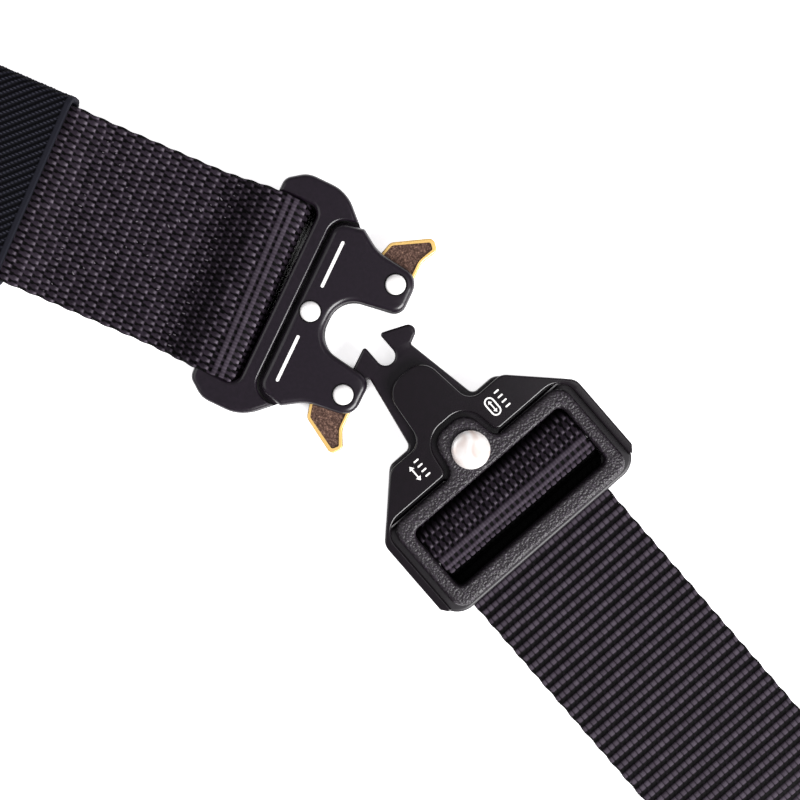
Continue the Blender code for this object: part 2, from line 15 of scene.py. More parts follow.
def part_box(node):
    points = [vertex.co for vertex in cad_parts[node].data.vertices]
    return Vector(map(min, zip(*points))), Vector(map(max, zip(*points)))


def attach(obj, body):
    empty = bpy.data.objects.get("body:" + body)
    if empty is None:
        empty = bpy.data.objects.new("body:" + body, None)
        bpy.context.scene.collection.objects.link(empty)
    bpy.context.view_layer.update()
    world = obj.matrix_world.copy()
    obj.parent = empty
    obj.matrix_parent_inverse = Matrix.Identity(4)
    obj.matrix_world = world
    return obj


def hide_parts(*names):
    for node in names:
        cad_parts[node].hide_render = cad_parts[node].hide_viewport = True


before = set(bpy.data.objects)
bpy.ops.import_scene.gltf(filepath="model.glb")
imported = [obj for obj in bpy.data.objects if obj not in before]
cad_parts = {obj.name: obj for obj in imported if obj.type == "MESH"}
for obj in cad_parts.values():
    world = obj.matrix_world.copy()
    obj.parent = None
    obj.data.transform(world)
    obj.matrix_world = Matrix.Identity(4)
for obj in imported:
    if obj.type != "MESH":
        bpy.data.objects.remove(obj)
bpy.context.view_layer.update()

# Camera, straight over the gap between the two halves of the buckle
# The belt's long axis runs down the picture from the upper left, as it was laid. The
# centre rivet is the socket half's origin and the large rivet sits just off the tongue
# half's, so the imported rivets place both, turned by equal and opposite angles.
MM = 0.001
HALF_TURN = 11.8
BOSS = Vector((-0.7, -0.3))
VIEW_FROM_SOCKET = Vector((-25.0, 3.2))
VIEW_HEIGHT = 308.0
VIEW_WIDTH = 160.0
VIEW_PLANE = 8.0
UP_HEADING = 307.3


def plan_centre(node):
    """Middle of a node in the plan, in millimetres."""
    low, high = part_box(node)
    return Vector(((low[0] + high[0]) / 2, (low[1] + high[1]) / 2)) / MM


def turned(vector, degrees):
    """A plan vector turned anticlockwise."""
    return Matrix.Rotation(math.radians(degrees), 2) @ Vector(vector)


def half_matrix(origin, heading):
    """Half axes in millimetres to the world in metres."""
    lift = Matrix.Translation((origin.x * MM, origin.y * MM, 0.0))
    return lift @ Matrix.Rotation(math.radians(heading), 4, "Z") @ Matrix.Scale(MM, 4)


def placed(name, data):
    """A new object with this data, linked to the scene."""
    made = bpy.data.objects.new(name, data)
    bpy.context.scene.collection.objects.link(made)
    return made


SOCKET_HEADING = 180 + HALF_TURN
TONGUE_HEADING = 180 - HALF_TURN
socket_origin = plan_centre("rivet_centre")
tongue_origin = plan_centre("tongue_rivet") - turned(BOSS, TONGUE_HEADING)
SOCKET = half_matrix(socket_origin, SOCKET_HEADING)
TONGUE_HALF = half_matrix(tongue_origin, TONGUE_HEADING)

lens = bpy.data.cameras.new("overhead")
lens.angle = 2 * math.atan(VIEW_WIDTH / 2 / (VIEW_HEIGHT - VIEW_PLANE))
lens.clip_start = 0.01
camera = placed("overhead", lens)
view_centre = socket_origin + VIEW_FROM_SOCKET
camera.location = (view_centre.x * MM, view_centre.y * MM, VIEW_HEIGHT * MM)
camera.rotation_euler.z = math.radians(UP_HEADING - 90)
bpy.context.scene.camera = camera


# Table and studio light
# A white acrylic table lit from below, so hardly a shadow shows, and painted shade darkens its
# colour and glow close round the pieces. One strong soft panel stands low at the picture's
# lower right, a weak one at the left and a small one nearly overhead, which gives the gloss,
# and the room is dim all round.
TABLE_HALF = 3.0
TABLE_DROP = 0.0002
PAINTED_SHADE_REACH = 0.006


def picture_place(right, down, height):
    """World place from millimetres right of and below the picture's middle."""
    across = turned((1, 0), UP_HEADING - 90)
    below = turned((0, -1), UP_HEADING - 90)
    spot = view_centre + across * right + below * down
    return Vector((spot.x, spot.y, height)) * MM


def linear(code):
    """Linear colour from an sRGB hex code."""
    parts = [int(code[k:k + 2], 16) / 255 for k in (1, 3, 5)]
    return (*[p / 12.92 if p <= 0.04045 else ((p + 0.055) / 1.055) ** 2.4 for p in parts], 1.0)


def add(tree, kind, settings=None, stops=(), **links):
    """Add a node, set its values and (position, hex) colour stops, and link its inputs.

    Inputs are named with _ for a space, or by their place as input0, input1 and so on.
    """
    node = tree.nodes.new(kind)

    def socket(name):
        return node.inputs[int(name[5:]) if name.startswith("input") else name.replace("_", " ")]

    for key, value in (settings or {}).items():
        if hasattr(node, key):
            setattr(node, key, value)
        else:
            socket(key).default_value = value
    for key, source in links.items():
        tree.links.new(source, socket(key))
    if stops:
        elements = node.color_ramp.elements
        while len(elements) < len(stops):
            elements.new(0.5)
        for element, (place, code) in zip(elements, stops):
            element.position = place
            element.color = linear(code)
    return node


def new_material(name, colour, roughness, metallic=0.0, **sockets):
    """A Principled material, its tree and its shader."""
    made = bpy.data.materials.new(name)
    made.use_nodes = True
    shader = made.node_tree.nodes["Principled BSDF"]
    values = {"Base Color": linear(colour), "Roughness": roughness, "Metallic": metallic}
    values.update({key.replace("_", " "): value for key, value in sockets.items()})
    for key, value in values.items():
        shader.inputs[key].default_value = value
    return made, made.node_tree, shader


# White acrylic, lit from below: it glows evenly, and the shadow in the few millimetres round a
# piece that touches it is painted shade, darkened where the pieces hide the open sky.
bpy.context.scene.view_settings.view_transform = "Standard"
acrylic, tree, shader = new_material("backlit_white_acrylic", "#f4f3f4", 0.9, Emission_Strength=0.85)
open_sky = add(tree, "ShaderNodeAmbientOcclusion", {"samples": 16, "Distance": PAINTED_SHADE_REACH})
# Painted shade: colour and glow go black where little open sky is seen, white where it is open.
painted_contact_shade = add(tree, "ShaderNodeValToRGB", stops=[(0.26, "#000000"), (0.42, "#f8f7f8")],
              Fac=open_sky.outputs["AO"])
tree.links.new(painted_contact_shade.outputs["Color"], shader.inputs["Emission Color"])
tree.links.new(painted_contact_shade.outputs["Color"], shader.inputs["Base Color"])
table_mesh = bpy.data.meshes.new("table")
table_mesh.from_pydata([(-TABLE_HALF, -TABLE_HALF, 0), (TABLE_HALF, -TABLE_HALF, 0),
                        (TABLE_HALF, TABLE_HALF, 0), (-TABLE_HALF, TABLE_HALF, 0)], [], [(0, 1, 2, 3)])
table_mesh.materials.append(acrylic)
table = placed("table", table_mesh)
table.location.z = -TABLE_DROP

# Each soft panel: millimetres right of and below the picture's middle and above the table,
# then its width in metres and its power in watts.
PANELS = {"key_panel": (660, 660, 670, 0.75, 29.0),
          "fill_panel": (-600, -100, 500, 0.6, 1.5),
          "gloss_panel": (170, -60, 560, 0.15, 0.13)}
for name, (right, down, height, size, power) in PANELS.items():
    lamp = bpy.data.lights.new(name, "AREA")
    lamp.size = size
    lamp.energy = power
    panel = placed(name, lamp)
    panel.location = picture_place(right, down, height)
    aim = picture_place(0, 0, 0) - panel.location
    panel.rotation_euler = aim.to_track_quat("-Z", "Y").to_euler()
room = bpy.data.worlds.new("studio")
room.use_nodes = True
room.node_tree.nodes["Background"].inputs["Color"].default_value = linear("#f1eef4")
room.node_tree.nodes["Background"].inputs["Strength"].default_value = 0.28
bpy.context.scene.world = room

# Nylon webbing, one strap woven about 38 mm wide and 2 mm thick
# It is folded over the socket's bar and sewn to itself, goes round the waist, and
# turns back over the slide bar of the tongue half. Its ends lie under it.
WEB_THICK = 2.0
GAP = 0.3
SEWN_WIDTH = 38.4
BAR_SPREAD = 1.0
SPREAD_RUN = (-30.0, -16.0)
SLOT_WIDTH = 38.9
FREE_WIDTH = 36.0
LOWER_LEG = WEB_THICK / 2
UPPER_LEG = LOWER_LEG + WEB_THICK + GAP
SOCKET_TURN = 2.2
ADJUSTER_TURN = 0.1
ADJUSTER_SHIFT = -1.9
SHIFT_RUN = (17.5, 24.0)
SEWN_END = -88.0
SOCKET_FLAT_END = -101.0
TAIL_END = 90.0
TAIL_BEND = 16.0
TAIL_FLAT = 17.0
ADJUSTER_FLAT_END = 101.0
RAIL_RUN = 22.0
RAIL_LIFT = 2.6
LOOP_DEPTH = 182.0
TWIST_LENGTH = 150.0
SIDE_SAMPLES = 403
BAR_HEIGHT = 4.15
STRAP_ROUND = -12.35
WRAP = 3.15
BAR_FALL = (-14.8, -27.0)
KEEPER_START = -60.8
KEEPER_WIDTH = 25.0
KEEPER_THICK = 1.2
SLIDE_BIG = (12.1, 4.2, 1.9)
SLIDE_SMALL = (8.0, 3.5, 1.2)
COARSE_STEP = 1.0
FINE_STEP = 0.3
TURN_STEP = 5
SOCKET_PIVOT = (-13.15, -0.3)
ADJUSTER_PIVOT = (12.0, -0.45)


def ease(value, start, end):
    """Smooth step from 0 at start to 1 at end."""
    t = min(max((value - start) / (end - start), 0.0), 1.0)
    return t * t * (3.0 - 2.0 * t)


def spaced(start, end, step):
    """Values from start to end about a step apart, both included."""
    count = max(1, round(abs(end - start) / step))
    return [start + (end - start) * k / count for k in range(count + 1)]


def keeper_lift(u):
    """How far the sewn end rises to clear the keeper's lower run.

    It rises from 8.8 mm before the band, is up 0.8 mm before it, and lies down past it.
    """
    right = KEEPER_START
    left = KEEPER_START - KEEPER_WIDTH
    rise = ease(u, right + 8.8, right + 0.8) * (1 - ease(u, left - 2.0, left - 11.0))
    return (KEEPER_THICK + GAP) * rise


def socket_line():
    """(u, z) of the strap's middle from its sewn end, round the bar, to the loop."""
    crown = BAR_HEIGHT + WRAP
    line = [(u, LOWER_LEG + keeper_lift(u)) for u in spaced(SEWN_END, STRAP_ROUND, COARSE_STEP)]
    for degrees in range(TURN_STEP - 90, 90, TURN_STEP):
        swing = math.radians(degrees)
        line.append((STRAP_ROUND + WRAP * math.cos(swing), BAR_HEIGHT + WRAP * math.sin(swing)))
    for u in spaced(STRAP_ROUND, SOCKET_FLAT_END, FINE_STEP):
        fall = (crown - UPPER_LEG) * ease(u, *BAR_FALL)
        landing = (UPPER_LEG - LOWER_LEG) * ease(u, SEWN_END - 1.5, SOCKET_FLAT_END + 1.0)
        line.append((u, crown - fall - landing + keeper_lift(u)))
    return line


def round_pins(pins, start, end):
    """A line in (u, z) from start round pins of (u, z, radius, turn +1 or -1) to end."""
    stops = [(*start, 0.0, 1)] + pins + [(*end, 0.0, 1)]
    touches = []
    for (u0, z0, r0, s0), (u1, z1, r1, s1) in zip(stops, stops[1:]):
        span = Vector((u1 - u0, z1 - z0))
        lean = math.atan2(span.y, span.x) + math.asin((s0 * r0 - s1 * r1) / span.length)
        side = Vector((math.sin(lean), -math.cos(lean)))
        touches.append((Vector((u0, z0)) + side * s0 * r0, Vector((u1, z1)) + side * s1 * r1))
    line = [Vector(start)]
    for (u, z, _, way), (_, arrive), (leave, _) in zip(pins, touches, touches[1:]):
        centre = Vector((u, z))
        first = arrive - centre
        last = leave - centre
        sweep = math.atan2(first.cross(last), first.dot(last)) % (way * 2 * math.pi)
        steps = max(1, round(abs(math.degrees(sweep)) / TURN_STEP))
        for step in range(steps + 1):
            line.append(centre + Matrix.Rotation(sweep * step / steps, 2) @ first)
    return [(p.x, p.y) for p in line + [Vector(end)]]


def adjuster_line():
    """(u, z) of the strap's middle from the loop, over the slide bar, to its tail."""
    offset = GAP + WEB_THICK / 2
    line = []
    for u in (spaced(ADJUSTER_FLAT_END, TAIL_END, COARSE_STEP)
              + spaced(TAIL_END, RAIL_RUN + 0.5, COARSE_STEP)):
        line.append((u, LOWER_LEG + (UPPER_LEG - LOWER_LEG) * ease(u, ADJUSTER_FLAT_END, TAIL_END)))
    pins = [(17.7, UPPER_LEG + RAIL_LIFT, RAIL_LIFT, -1),
            (SLIDE_BIG[0], SLIDE_BIG[1], SLIDE_BIG[2] + offset, 1),
            (SLIDE_SMALL[0], SLIDE_SMALL[1], SLIDE_SMALL[2] + offset, 1)]
    line += round_pins(pins, (RAIL_RUN, UPPER_LEG), (TAIL_BEND, LOWER_LEG))
    return line + [(u, LOWER_LEG) for u in spaced(TAIL_FLAT, TAIL_END, COARSE_STEP)]


def flat_stations(line, origin, heading, pivot, turn, shift, width):
    """World stations of a flat stretch: centre, direction across and width."""
    along = turned((1, 0), heading + turn)
    across = turned((0, 1), heading + turn)
    base = origin + turned(pivot, heading)
    stations = []
    for u, z in line:
        spot = base + along * (u - pivot[0]) + across * shift(u)
        stations.append((Vector((spot.x, spot.y, z)), Vector((across.x, across.y, 0)), width(u)))
    return stations


def side_stations(start, heading, target, width):
    """The strap from flat to its edge, from start to the straight line at the back."""
    turns = [heading + (target - heading) * ease(k / SIDE_SAMPLES, 0, 1) for k in range(SIDE_SAMPLES + 1)]
    rise = sum(math.sin(turn) for turn in turns) / SIDE_SAMPLES
    step = (socket_origin.y + LOOP_DEPTH - start.y) / rise / SIDE_SAMPLES
    outside = 1 if target > heading else -1
    stations = []
    spot = start.copy()
    for k, turn in enumerate(turns):
        tilt = math.pi / 2 * ease(k * step, 0, TWIST_LENGTH)
        out = Vector((math.sin(turn), -math.cos(turn), 0)) * outside
        height = LOWER_LEG * math.cos(tilt) + width / 2 * math.sin(tilt)
        across = out * math.cos(tilt) - Vector((0, 0, math.sin(tilt)))
        stations.append((Vector((spot.x, spot.y, height)), across, width))
        spot = spot + Vector((math.cos(turn), math.sin(turn))) * step
    return stations[1:]


socket_part = flat_stations(socket_line(), socket_origin, SOCKET_HEADING, SOCKET_PIVOT, SOCKET_TURN,
                            lambda u: 0.0, lambda u: SEWN_WIDTH + BAR_SPREAD * ease(u, *SPREAD_RUN))
adjuster_part = flat_stations(adjuster_line(), tongue_origin, TONGUE_HEADING, ADJUSTER_PIVOT,
                              ADJUSTER_TURN, lambda u: ADJUSTER_SHIFT * ease(u, *SHIFT_RUN),
                              lambda u: SLOT_WIDTH + (FREE_WIDTH - SLOT_WIDTH) * ease(u, *SHIFT_RUN))
right_side = side_stations(socket_part[-1][0].xy, math.radians(HALF_TURN + SOCKET_TURN),
                           math.pi, SEWN_WIDTH)
left_side = side_stations(adjuster_part[0][0].xy, math.radians(180 - HALF_TURN + ADJUSTER_TURN),
                          0.0, FREE_WIDTH)
back = []
for share in spaced(0.0, 1.0, 0.02)[1:-1]:
    place = right_side[-1][0].lerp(left_side[-1][0], share)
    back.append((place, Vector((0, 0, -1)), SEWN_WIDTH + (FREE_WIDTH - SEWN_WIDTH) * share))
whole_strap = socket_part + right_side + back + left_side[::-1] + adjuster_part
centres = np.array([station[0] for station in whole_strap])
acrosses = np.array([station[1] for station in whole_strap])
widths = np.array([station[2] for station in whole_strap])
steps = np.linalg.norm(np.diff(centres, axis=0), axis=1)
kept = np.concatenate([[True], steps > 1e-4])
centres, acrosses, widths = centres[kept], acrosses[kept], widths[kept]
run = np.concatenate([[0], np.cumsum(np.linalg.norm(np.diff(centres, axis=0), axis=1))])

# The weave of the strap: 58 warp yarns across, each up over every second pick
# A raised yarn shows as a flat block; blocks form rows 2.07 mm apart, and rows are
# staggered by half a block. Where the strap is sewn or bent, blocks turn to scales with a
# raised tip towards the buckle, and right over a bar the rows draw together into bars.
PICK = 2.07
YARNS = 58
BLOCK_RISE = 0.36
YARN_ROUND = 0.26
CREST = 0.12
EDGE_ROUND = 0.8
EDGE_CURL = 0.6
CURL_BAND = 1.8
SCALLOP = 0.1
SCALLOP_BAND = 1.5
RAIL_FROM = -11.8
RAIL_TO = -3.4
BAR_SHADE = 0.2
SLIDE_SHADE = 0.25
ROW_SHIFT = (0.6, -0.8)
BAR_SLIP = ((-6.0, -2.5, -0.8, 0.35, 2.1, 6.0), (-0.6, -0.6, -0.25, 0.19, 0.03, 0.0))
SLIDE_SLIP = ((-6.0, -3.0, -1.65, -0.2, 1.1, 5.1, 9.0), (-0.5, -0.5, -0.07, 0.23, 0.28, 0.3, 0.0))
PICKS_DRAWN = 700
chance = np.random.default_rng(11)
YARN_SLIP = chance.uniform(-1, 1, (YARNS + 4, PICKS_DRAWN))
YARN_TONE = chance.uniform(0.82, 1.05, (YARNS + 4, PICKS_DRAWN))


def smooth(t):
    """Smooth step of an array already scaled from 0 to 1."""
    t = np.clip(t, 0, 1)
    return t * t * (3 - 2 * t)


def weave(along, place, scaly, bent):
    """Height in mm under the highest block, and brightness of the yarn, at each point.

    along is the distance down the strap, place the distance across in yarns, scaly goes
    from 0, flat blocks, to 1, scales, and bent is 1 where a bend draws rows into bars.
    Within a block, pick runs from -1 to 1 along the yarn and aside from its middle outwards.
    Each block has a painted highlight on its top face and painted shade on the body under it.
    """
    tallest = np.full(np.broadcast(along, place).shape, -9.0)
    brightest = np.zeros(tallest.shape)
    first = np.floor(place).astype(int)
    for near in (-1, 0, 1):
        yarn = np.clip(first + near, 0, YARNS - 1)
        aside = np.abs(place - yarn - 0.5)
        pick = along / PICK - yarn
        block = np.floor((pick + 1) / 2)
        count = block.astype(int) % PICKS_DRAWN
        pick = pick - 2 * block - YARN_SLIP[yarn, count] * (0.02 + 0.1 * scaly)
        flat_top = smooth((0.28 - np.abs(pick)) / 0.1)
        tip = smooth((pick + 0.46) / 0.12) * smooth((0.1 - pick) / 0.34)
        slope = smooth((0.8 - pick) / 0.25) * smooth((pick + 0.5) / 0.2)
        body = smooth((pick + 0.46) / 0.1) * smooth((0.95 - pick) / 0.4)
        top = flat_top + (tip - flat_top) * scaly
        under = slope + (body - slope) * scaly
        taper = 0.3 * smooth((0.5 - pick) / 0.9) + 0.42 * smooth((pick - 0.05) / 0.55)
        half = 1.15 - scaly * (0.12 + taper)
        top_face = smooth((half - 0.16 * scaly - aside) / 0.26)
        narrow = (1 - scaly) * (0.25 + 0.45 * smooth((pick - 0.25) / 0.5))
        under_face = smooth((half - narrow - aside) / 0.22)
        # Painted light: the top face is painted bright and the body dimmer.
        painted_light_and_tone = (0.5 + 0.05 * scaly) * top * top_face + (0.22 + 0.2 * scaly) * under * under_face
        rise = BLOCK_RISE * (0.65 * top * top_face + 0.35 * under * under_face)
        row = along / PICK - np.round(along / PICK)
        bar = smooth((0.34 - np.abs(row)) / 0.1) * (1 - 0.3 * smooth(aside / 0.5))
        link = smooth((0.8 - pick) / 0.1) * smooth((pick + 0.1) / 0.1) * smooth((0.64 - aside) / 0.22)
        # Over a bend the bars are painted bright and the links between them dimmer.
        painted_light_and_tone = painted_light_and_tone + (np.maximum(0.72 * bar, 0.38 * link) - painted_light_and_tone) * bent
        rise = rise + (BLOCK_RISE * (0.8 * bar + 0.2 * link) - rise) * bent
        painted_light_and_tone = painted_light_and_tone * YARN_TONE[yarn, count]
        section = np.sqrt(np.clip(1 - (aside / 1.14) ** 2, 0, 1))
        tallest = np.maximum(tallest, rise + YARN_ROUND * section)
        brightest = np.maximum(brightest, painted_light_and_tone)
    return tallest - BLOCK_RISE - YARN_ROUND, brightest


def tube(name, rings, crowns, uv, look, closed=False):
    """A closed mesh through equal rings of points, with its crown values and UVs."""
    rows, count = rings.shape[:2]
    mesh = bpy.data.meshes.new(name)
    index = np.arange(rows * count).reshape(rows, count)
    low = index if closed else index[:-1]
    high = np.roll(index, -1, 0) if closed else index[1:]
    quads = np.stack([low, np.roll(low, -1, 1), np.roll(high, -1, 1), high], -1).reshape(-1, 4)
    caps = [] if closed else [index[0][::-1], index[-1]]
    corners = np.concatenate([quads.ravel()] + caps)
    cap_starts = [len(quads) * 4 + count * k for k in range(len(caps))]
    starts = np.array(list(range(0, len(quads) * 4, 4)) + cap_starts)
    mesh.vertices.add(rows * count)
    mesh.vertices.foreach_set("co", (rings.reshape(-1) * MM).astype(np.float32))
    mesh.loops.add(len(corners))
    mesh.loops.foreach_set("vertex_index", corners.astype(np.int32))
    mesh.polygons.add(len(starts))
    mesh.polygons.foreach_set("loop_start", starts.astype(np.int32))
    mesh.update(calc_edges=True)
    crown_layer = mesh.attributes.new("crown", "FLOAT", "POINT")
    crown_layer.data.foreach_set("value", crowns.reshape(-1).astype(np.float32))
    uv_layer = mesh.uv_layers.new(name="cloth_mm")
    uv_layer.data.foreach_set("uv", uv.reshape(-1, 2)[corners].reshape(-1).astype(np.float32))
    mesh.materials.append(look)
    mesh.shade_smooth()
    return placed(name, mesh)


def strap_at(distance):
    """Centre, direction across, outward normal and width at distances down the strap."""
    def between(values, away=0.0):
        return np.stack([np.interp(distance + away, run, values[:, k]) for k in range(3)], -1)

    centre = between(centres)
    across = between(acrosses)
    across /= np.linalg.norm(across, axis=1, keepdims=True)
    forward = between(centres, 0.35) - between(centres, -0.35)
    normal = np.cross(across, forward)
    normal /= np.linalg.norm(normal, axis=1, keepdims=True)
    return centre, across, normal, np.interp(distance, run, widths)


def woven_stretch(name, start, end, per_pick, per_yarn, under_per_yarn):
    """A woven length of the strap, with relief on both faces and scalloped edges."""
    distance = np.array(spaced(start, end, PICK / per_pick))
    centre, across, normal, width = strap_at(distance)
    rim = np.array([0.02, 0.09, 0.2, 0.35])

    def columns(each):
        inner = np.linspace(0.5, YARNS - 0.5, int((YARNS - 1) * each) + 1)
        return np.concatenate([rim, inner, YARNS - rim[::-1]])

    top = np.concatenate([[0.0], columns(per_yarn), [YARNS]])
    from_bar = distance - bar_crown
    from_slide = distance - slide_crown
    sewn_or_slid = smooth((flat_out - distance) / 3) + smooth((from_slide + 4) / 2)
    over_bars = (smooth((1.5 - np.abs(from_bar + 0.23)) / 0.4)
                 + smooth((1.8 - np.abs(from_slide + 0.93)) / 0.4))
    # Painted shade: the crowns go dark under the adjuster's rail, and dimmer where the strap falls away
    # below the socket's bar and runs on past the slide bar.
    painted_rail_shade = smooth((from_slide - RAIL_FROM) / 1.5) * smooth((RAIL_TO - from_slide) / 1.0)
    below_bar = smooth((from_bar - 3.5) / 2) * smooth((12.5 - from_bar) / 2)
    below_slide = smooth((from_slide - 2.5) / 4) * (distance < tail_from)
    in_shade = BAR_SHADE * below_bar + SLIDE_SHADE * below_slide
    over_arms = smooth((4.2 - np.abs(from_bar - 1.2)) / 1.5)
    phase = ROW_SHIFT[0] + (ROW_SHIFT[1] - ROW_SHIFT[0]) * distance / run[-1]
    for away, (places_near, slips) in ((from_bar, BAR_SLIP), (from_slide, SLIDE_SLIP)):
        phase = phase + PICK * np.interp(away, places_near, slips, 0.0, 0.0)
    rings = []
    crowns = []
    grids = []
    for places, side in ((top, 1), (columns(under_per_yarn)[::-1], -1)):
        outside = side > 0
        bent = over_bars[:, None] * outside
        scaly = sewn_or_slid[:, None] * outside * (1 - bent)
        rows = distance + phase + (0 if outside else PICK)
        relief, crown = weave(rows[:, None], places[None, :], scaly, bent)
        # The outer face's crowns take the painted shade.
        crown = crown * (1 - painted_rail_shade[:, None] * outside) * (1 - in_shade[:, None] * outside)
        edge = np.minimum(places, YARNS - places)[None, :] / YARNS * width[:, None]
        round_off = np.sqrt(np.clip(1 - (1 - np.clip(edge / EDGE_ROUND, 0, 1)) ** 2, 0, 1))
        scallop = SCALLOP * np.cos(math.pi * distance / PICK)[:, None] * smooth(1 - edge / SCALLOP_BAND)
        lateral = (places / YARNS - 0.5)[None, :] * width[:, None]
        lateral = lateral + np.sign(places - YARNS / 2)[None, :] * scallop
        height = side * round_off * (WEB_THICK / 2 + CREST * outside + relief)
        height = height + EDGE_CURL * smooth(1 - edge / CURL_BAND) * over_arms[:, None]
        rings.append(centre[:, None, :] + across[:, None, :] * lateral[..., None]
                     + normal[:, None, :] * height[..., None])
        # Painted shade dims the crowns over the last third of a millimetre of each rounded edge.
        crowns.append(crown * smooth(0.3 + edge / 0.5))
        cloth_mm = np.broadcast_arrays(distance[:, None], (places / YARNS * SEWN_WIDTH)[None, :])
        grids.append(np.stack(cloth_mm, -1))
    made = tube(name, *[np.concatenate(pair, 1) for pair in (rings, crowns, grids)], nylon)
    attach(made, "belt")
    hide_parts("belt_webbing")


# Nylon multifilament, dyed black and woven
# Matt, with its colour set by each point's crown value: a painted highlight on the crowns and
# painted shade in the valleys between blocks. The filaments are drawn about a seventh of a
# millimetre wide, coarser than the real ones.
nylon, tree, shader = new_material("black_nylon_webbing", "#2a272b", 0.7, Specular_IOR_Level=0.06)
painted_light_value = add(tree, "ShaderNodeAttribute", {"attribute_name": "crown"}).outputs["Fac"]
cloth = add(tree, "ShaderNodeUVMap", {"uv_map": "cloth_mm"}).outputs["UV"]
filament_scale = add(tree, "ShaderNodeMapping", {"Scale": (0.9, 7.0, 1.0)}, Vector=cloth)
filaments = add(tree, "ShaderNodeTexNoise", {"Scale": 1.0, "Detail": 2.0},
                Vector=filament_scale.outputs["Vector"])
fibre_bump = add(tree, "ShaderNodeBump", {"Strength": 0.35, "Distance": 0.08 * MM},
                 Height=filaments.outputs["Fac"])
yarn_painted_light = add(tree, "ShaderNodeValToRGB", Fac=painted_light_value,
                  stops=[(0.0, "#010101"), (0.2, "#070507"), (0.4, "#272029"), (0.75, "#474049"),
                         (1.0, "#655d67")])
tree.links.new(yarn_painted_light.outputs["Color"], shader.inputs["Base Color"])
tree.links.new(fibre_bump.outputs["Normal"], shader.inputs["Normal"])

# Distances down the strap of its turning points, then its lengths. The ones in the
# photograph's frame have eight rows of points to a pick and three to a yarn.
LOWER_LEG_GAP = 9.9
SLIDE_WRAP = 32.0
START_STATIONS = 400
END_STATIONS = 130
bar_crown = run[int(np.argmax(centres[:START_STATIONS, 2]))]
lower_end = bar_crown - LOWER_LEG_GAP
flat_out = bar_crown + STRAP_ROUND - SOCKET_FLAT_END
total = run[-1]
adjuster_in = total - (TAIL_END - TAIL_FLAT) - SLIDE_WRAP - (ADJUSTER_FLAT_END - RAIL_RUN)
tail_from = total - (TAIL_END - TAIL_BEND)
slide_crown = run[-END_STATIONS:][int(np.argmax(centres[-END_STATIONS:, 2]))]
middle = (flat_out + adjuster_in) / 2
woven_stretch("webbing_sewn_leg", 0.0, lower_end, 1.5, 1, 1)
woven_stretch("webbing_socket_side", lower_end, flat_out, 8, 3, 0.5)
woven_stretch("webbing_loop_right", flat_out, middle, 3, 1, 1)
woven_stretch("webbing_loop_left", middle, adjuster_in, 3, 1, 1)
woven_stretch("webbing_adjuster_side", adjuster_in, tail_from, 8, 3, 0.5)
woven_stretch("webbing_tail", tail_from, total, 1.5, 1, 1)


# Seams that close the fold, sewn with bonded nylon thread in lockstitch
# Two rows cross the strap at the ends of the seam, and a cross is sewn between them. Each
# stitch is pressed a little into the weave, some deeper than others.
SEAM_NEAR = -23.8
SEAM_FAR = -52.3
SEAM_HALF = 17.6
SEAM_SINK = 0.1
CROSS_INSET = 1.0
CROSS_HALF = SEAM_HALF - 2.0
STITCH_STEP = 2.3
STITCH_LENGTH = 0.8
THREAD_THICK = 0.3


def seam_path(name, lines):
    """Edges over the strap's face along lines between (u, v) ends."""
    level = WEB_THICK / 2 + CREST - SEAM_SINK
    share = np.linspace(0, 1, 25)
    spots = []
    edges = []
    for (u0, v0), (u1, v1) in lines:
        centre, across, normal, _ = strap_at(bar_crown + STRAP_ROUND - (u0 + (u1 - u0) * share))
        line = centre + across * (v0 + (v1 - v0) * share)[:, None] + normal * level
        edges += [(len(spots) + k, len(spots) + k + 1) for k in range(len(line) - 1)]
        spots += [tuple(spot * MM) for spot in line]
    mesh = bpy.data.meshes.new(name)
    mesh.from_pydata(spots, edges, [])
    return mesh


def new_tree(name, sockets):
    """An empty Geometry Nodes tree with named inputs and one geometry output."""
    made = bpy.data.node_groups.new(name, "GeometryNodeTree")
    made.is_modifier = True
    made.interface.new_socket(name="Geometry", in_out="OUTPUT", socket_type="NodeSocketGeometry")
    for label, kind in sockets:
        made.interface.new_socket(name=label, in_out="INPUT", socket_type="NodeSocket" + kind)
    return made, made.nodes.new("NodeGroupInput").outputs


def close_tree(made, geometry, finish):
    """Realize, smooth and finish a tree's geometry and send it out."""
    real = add(made, "GeometryNodeRealizeInstances", Geometry=geometry)
    soft = add(made, "GeometryNodeSetShadeSmooth", Geometry=real.outputs["Geometry"])
    worn = add(made, "GeometryNodeSetMaterial", Geometry=soft.outputs["Geometry"], Material=finish)
    made.links.new(worn.outputs["Geometry"], made.nodes.new("NodeGroupOutput").inputs["Geometry"])


def grown(name, source, nodes, values):
    """What a tree makes of a source mesh, as a new object with a plain mesh."""
    host = placed(name + "_source", source)
    maker = host.modifiers.new("maker", "NODES")
    maker.node_group = nodes
    for item in nodes.interface.items_tree:
        if item.name in values:
            maker[item.identifier] = values[item.name]
    mesh = bpy.data.meshes.new_from_object(host.evaluated_get(bpy.context.evaluated_depsgraph_get()))
    mesh.name = name
    host.modifiers.remove(maker)
    bpy.data.objects.remove(host)
    return placed(name, mesh)


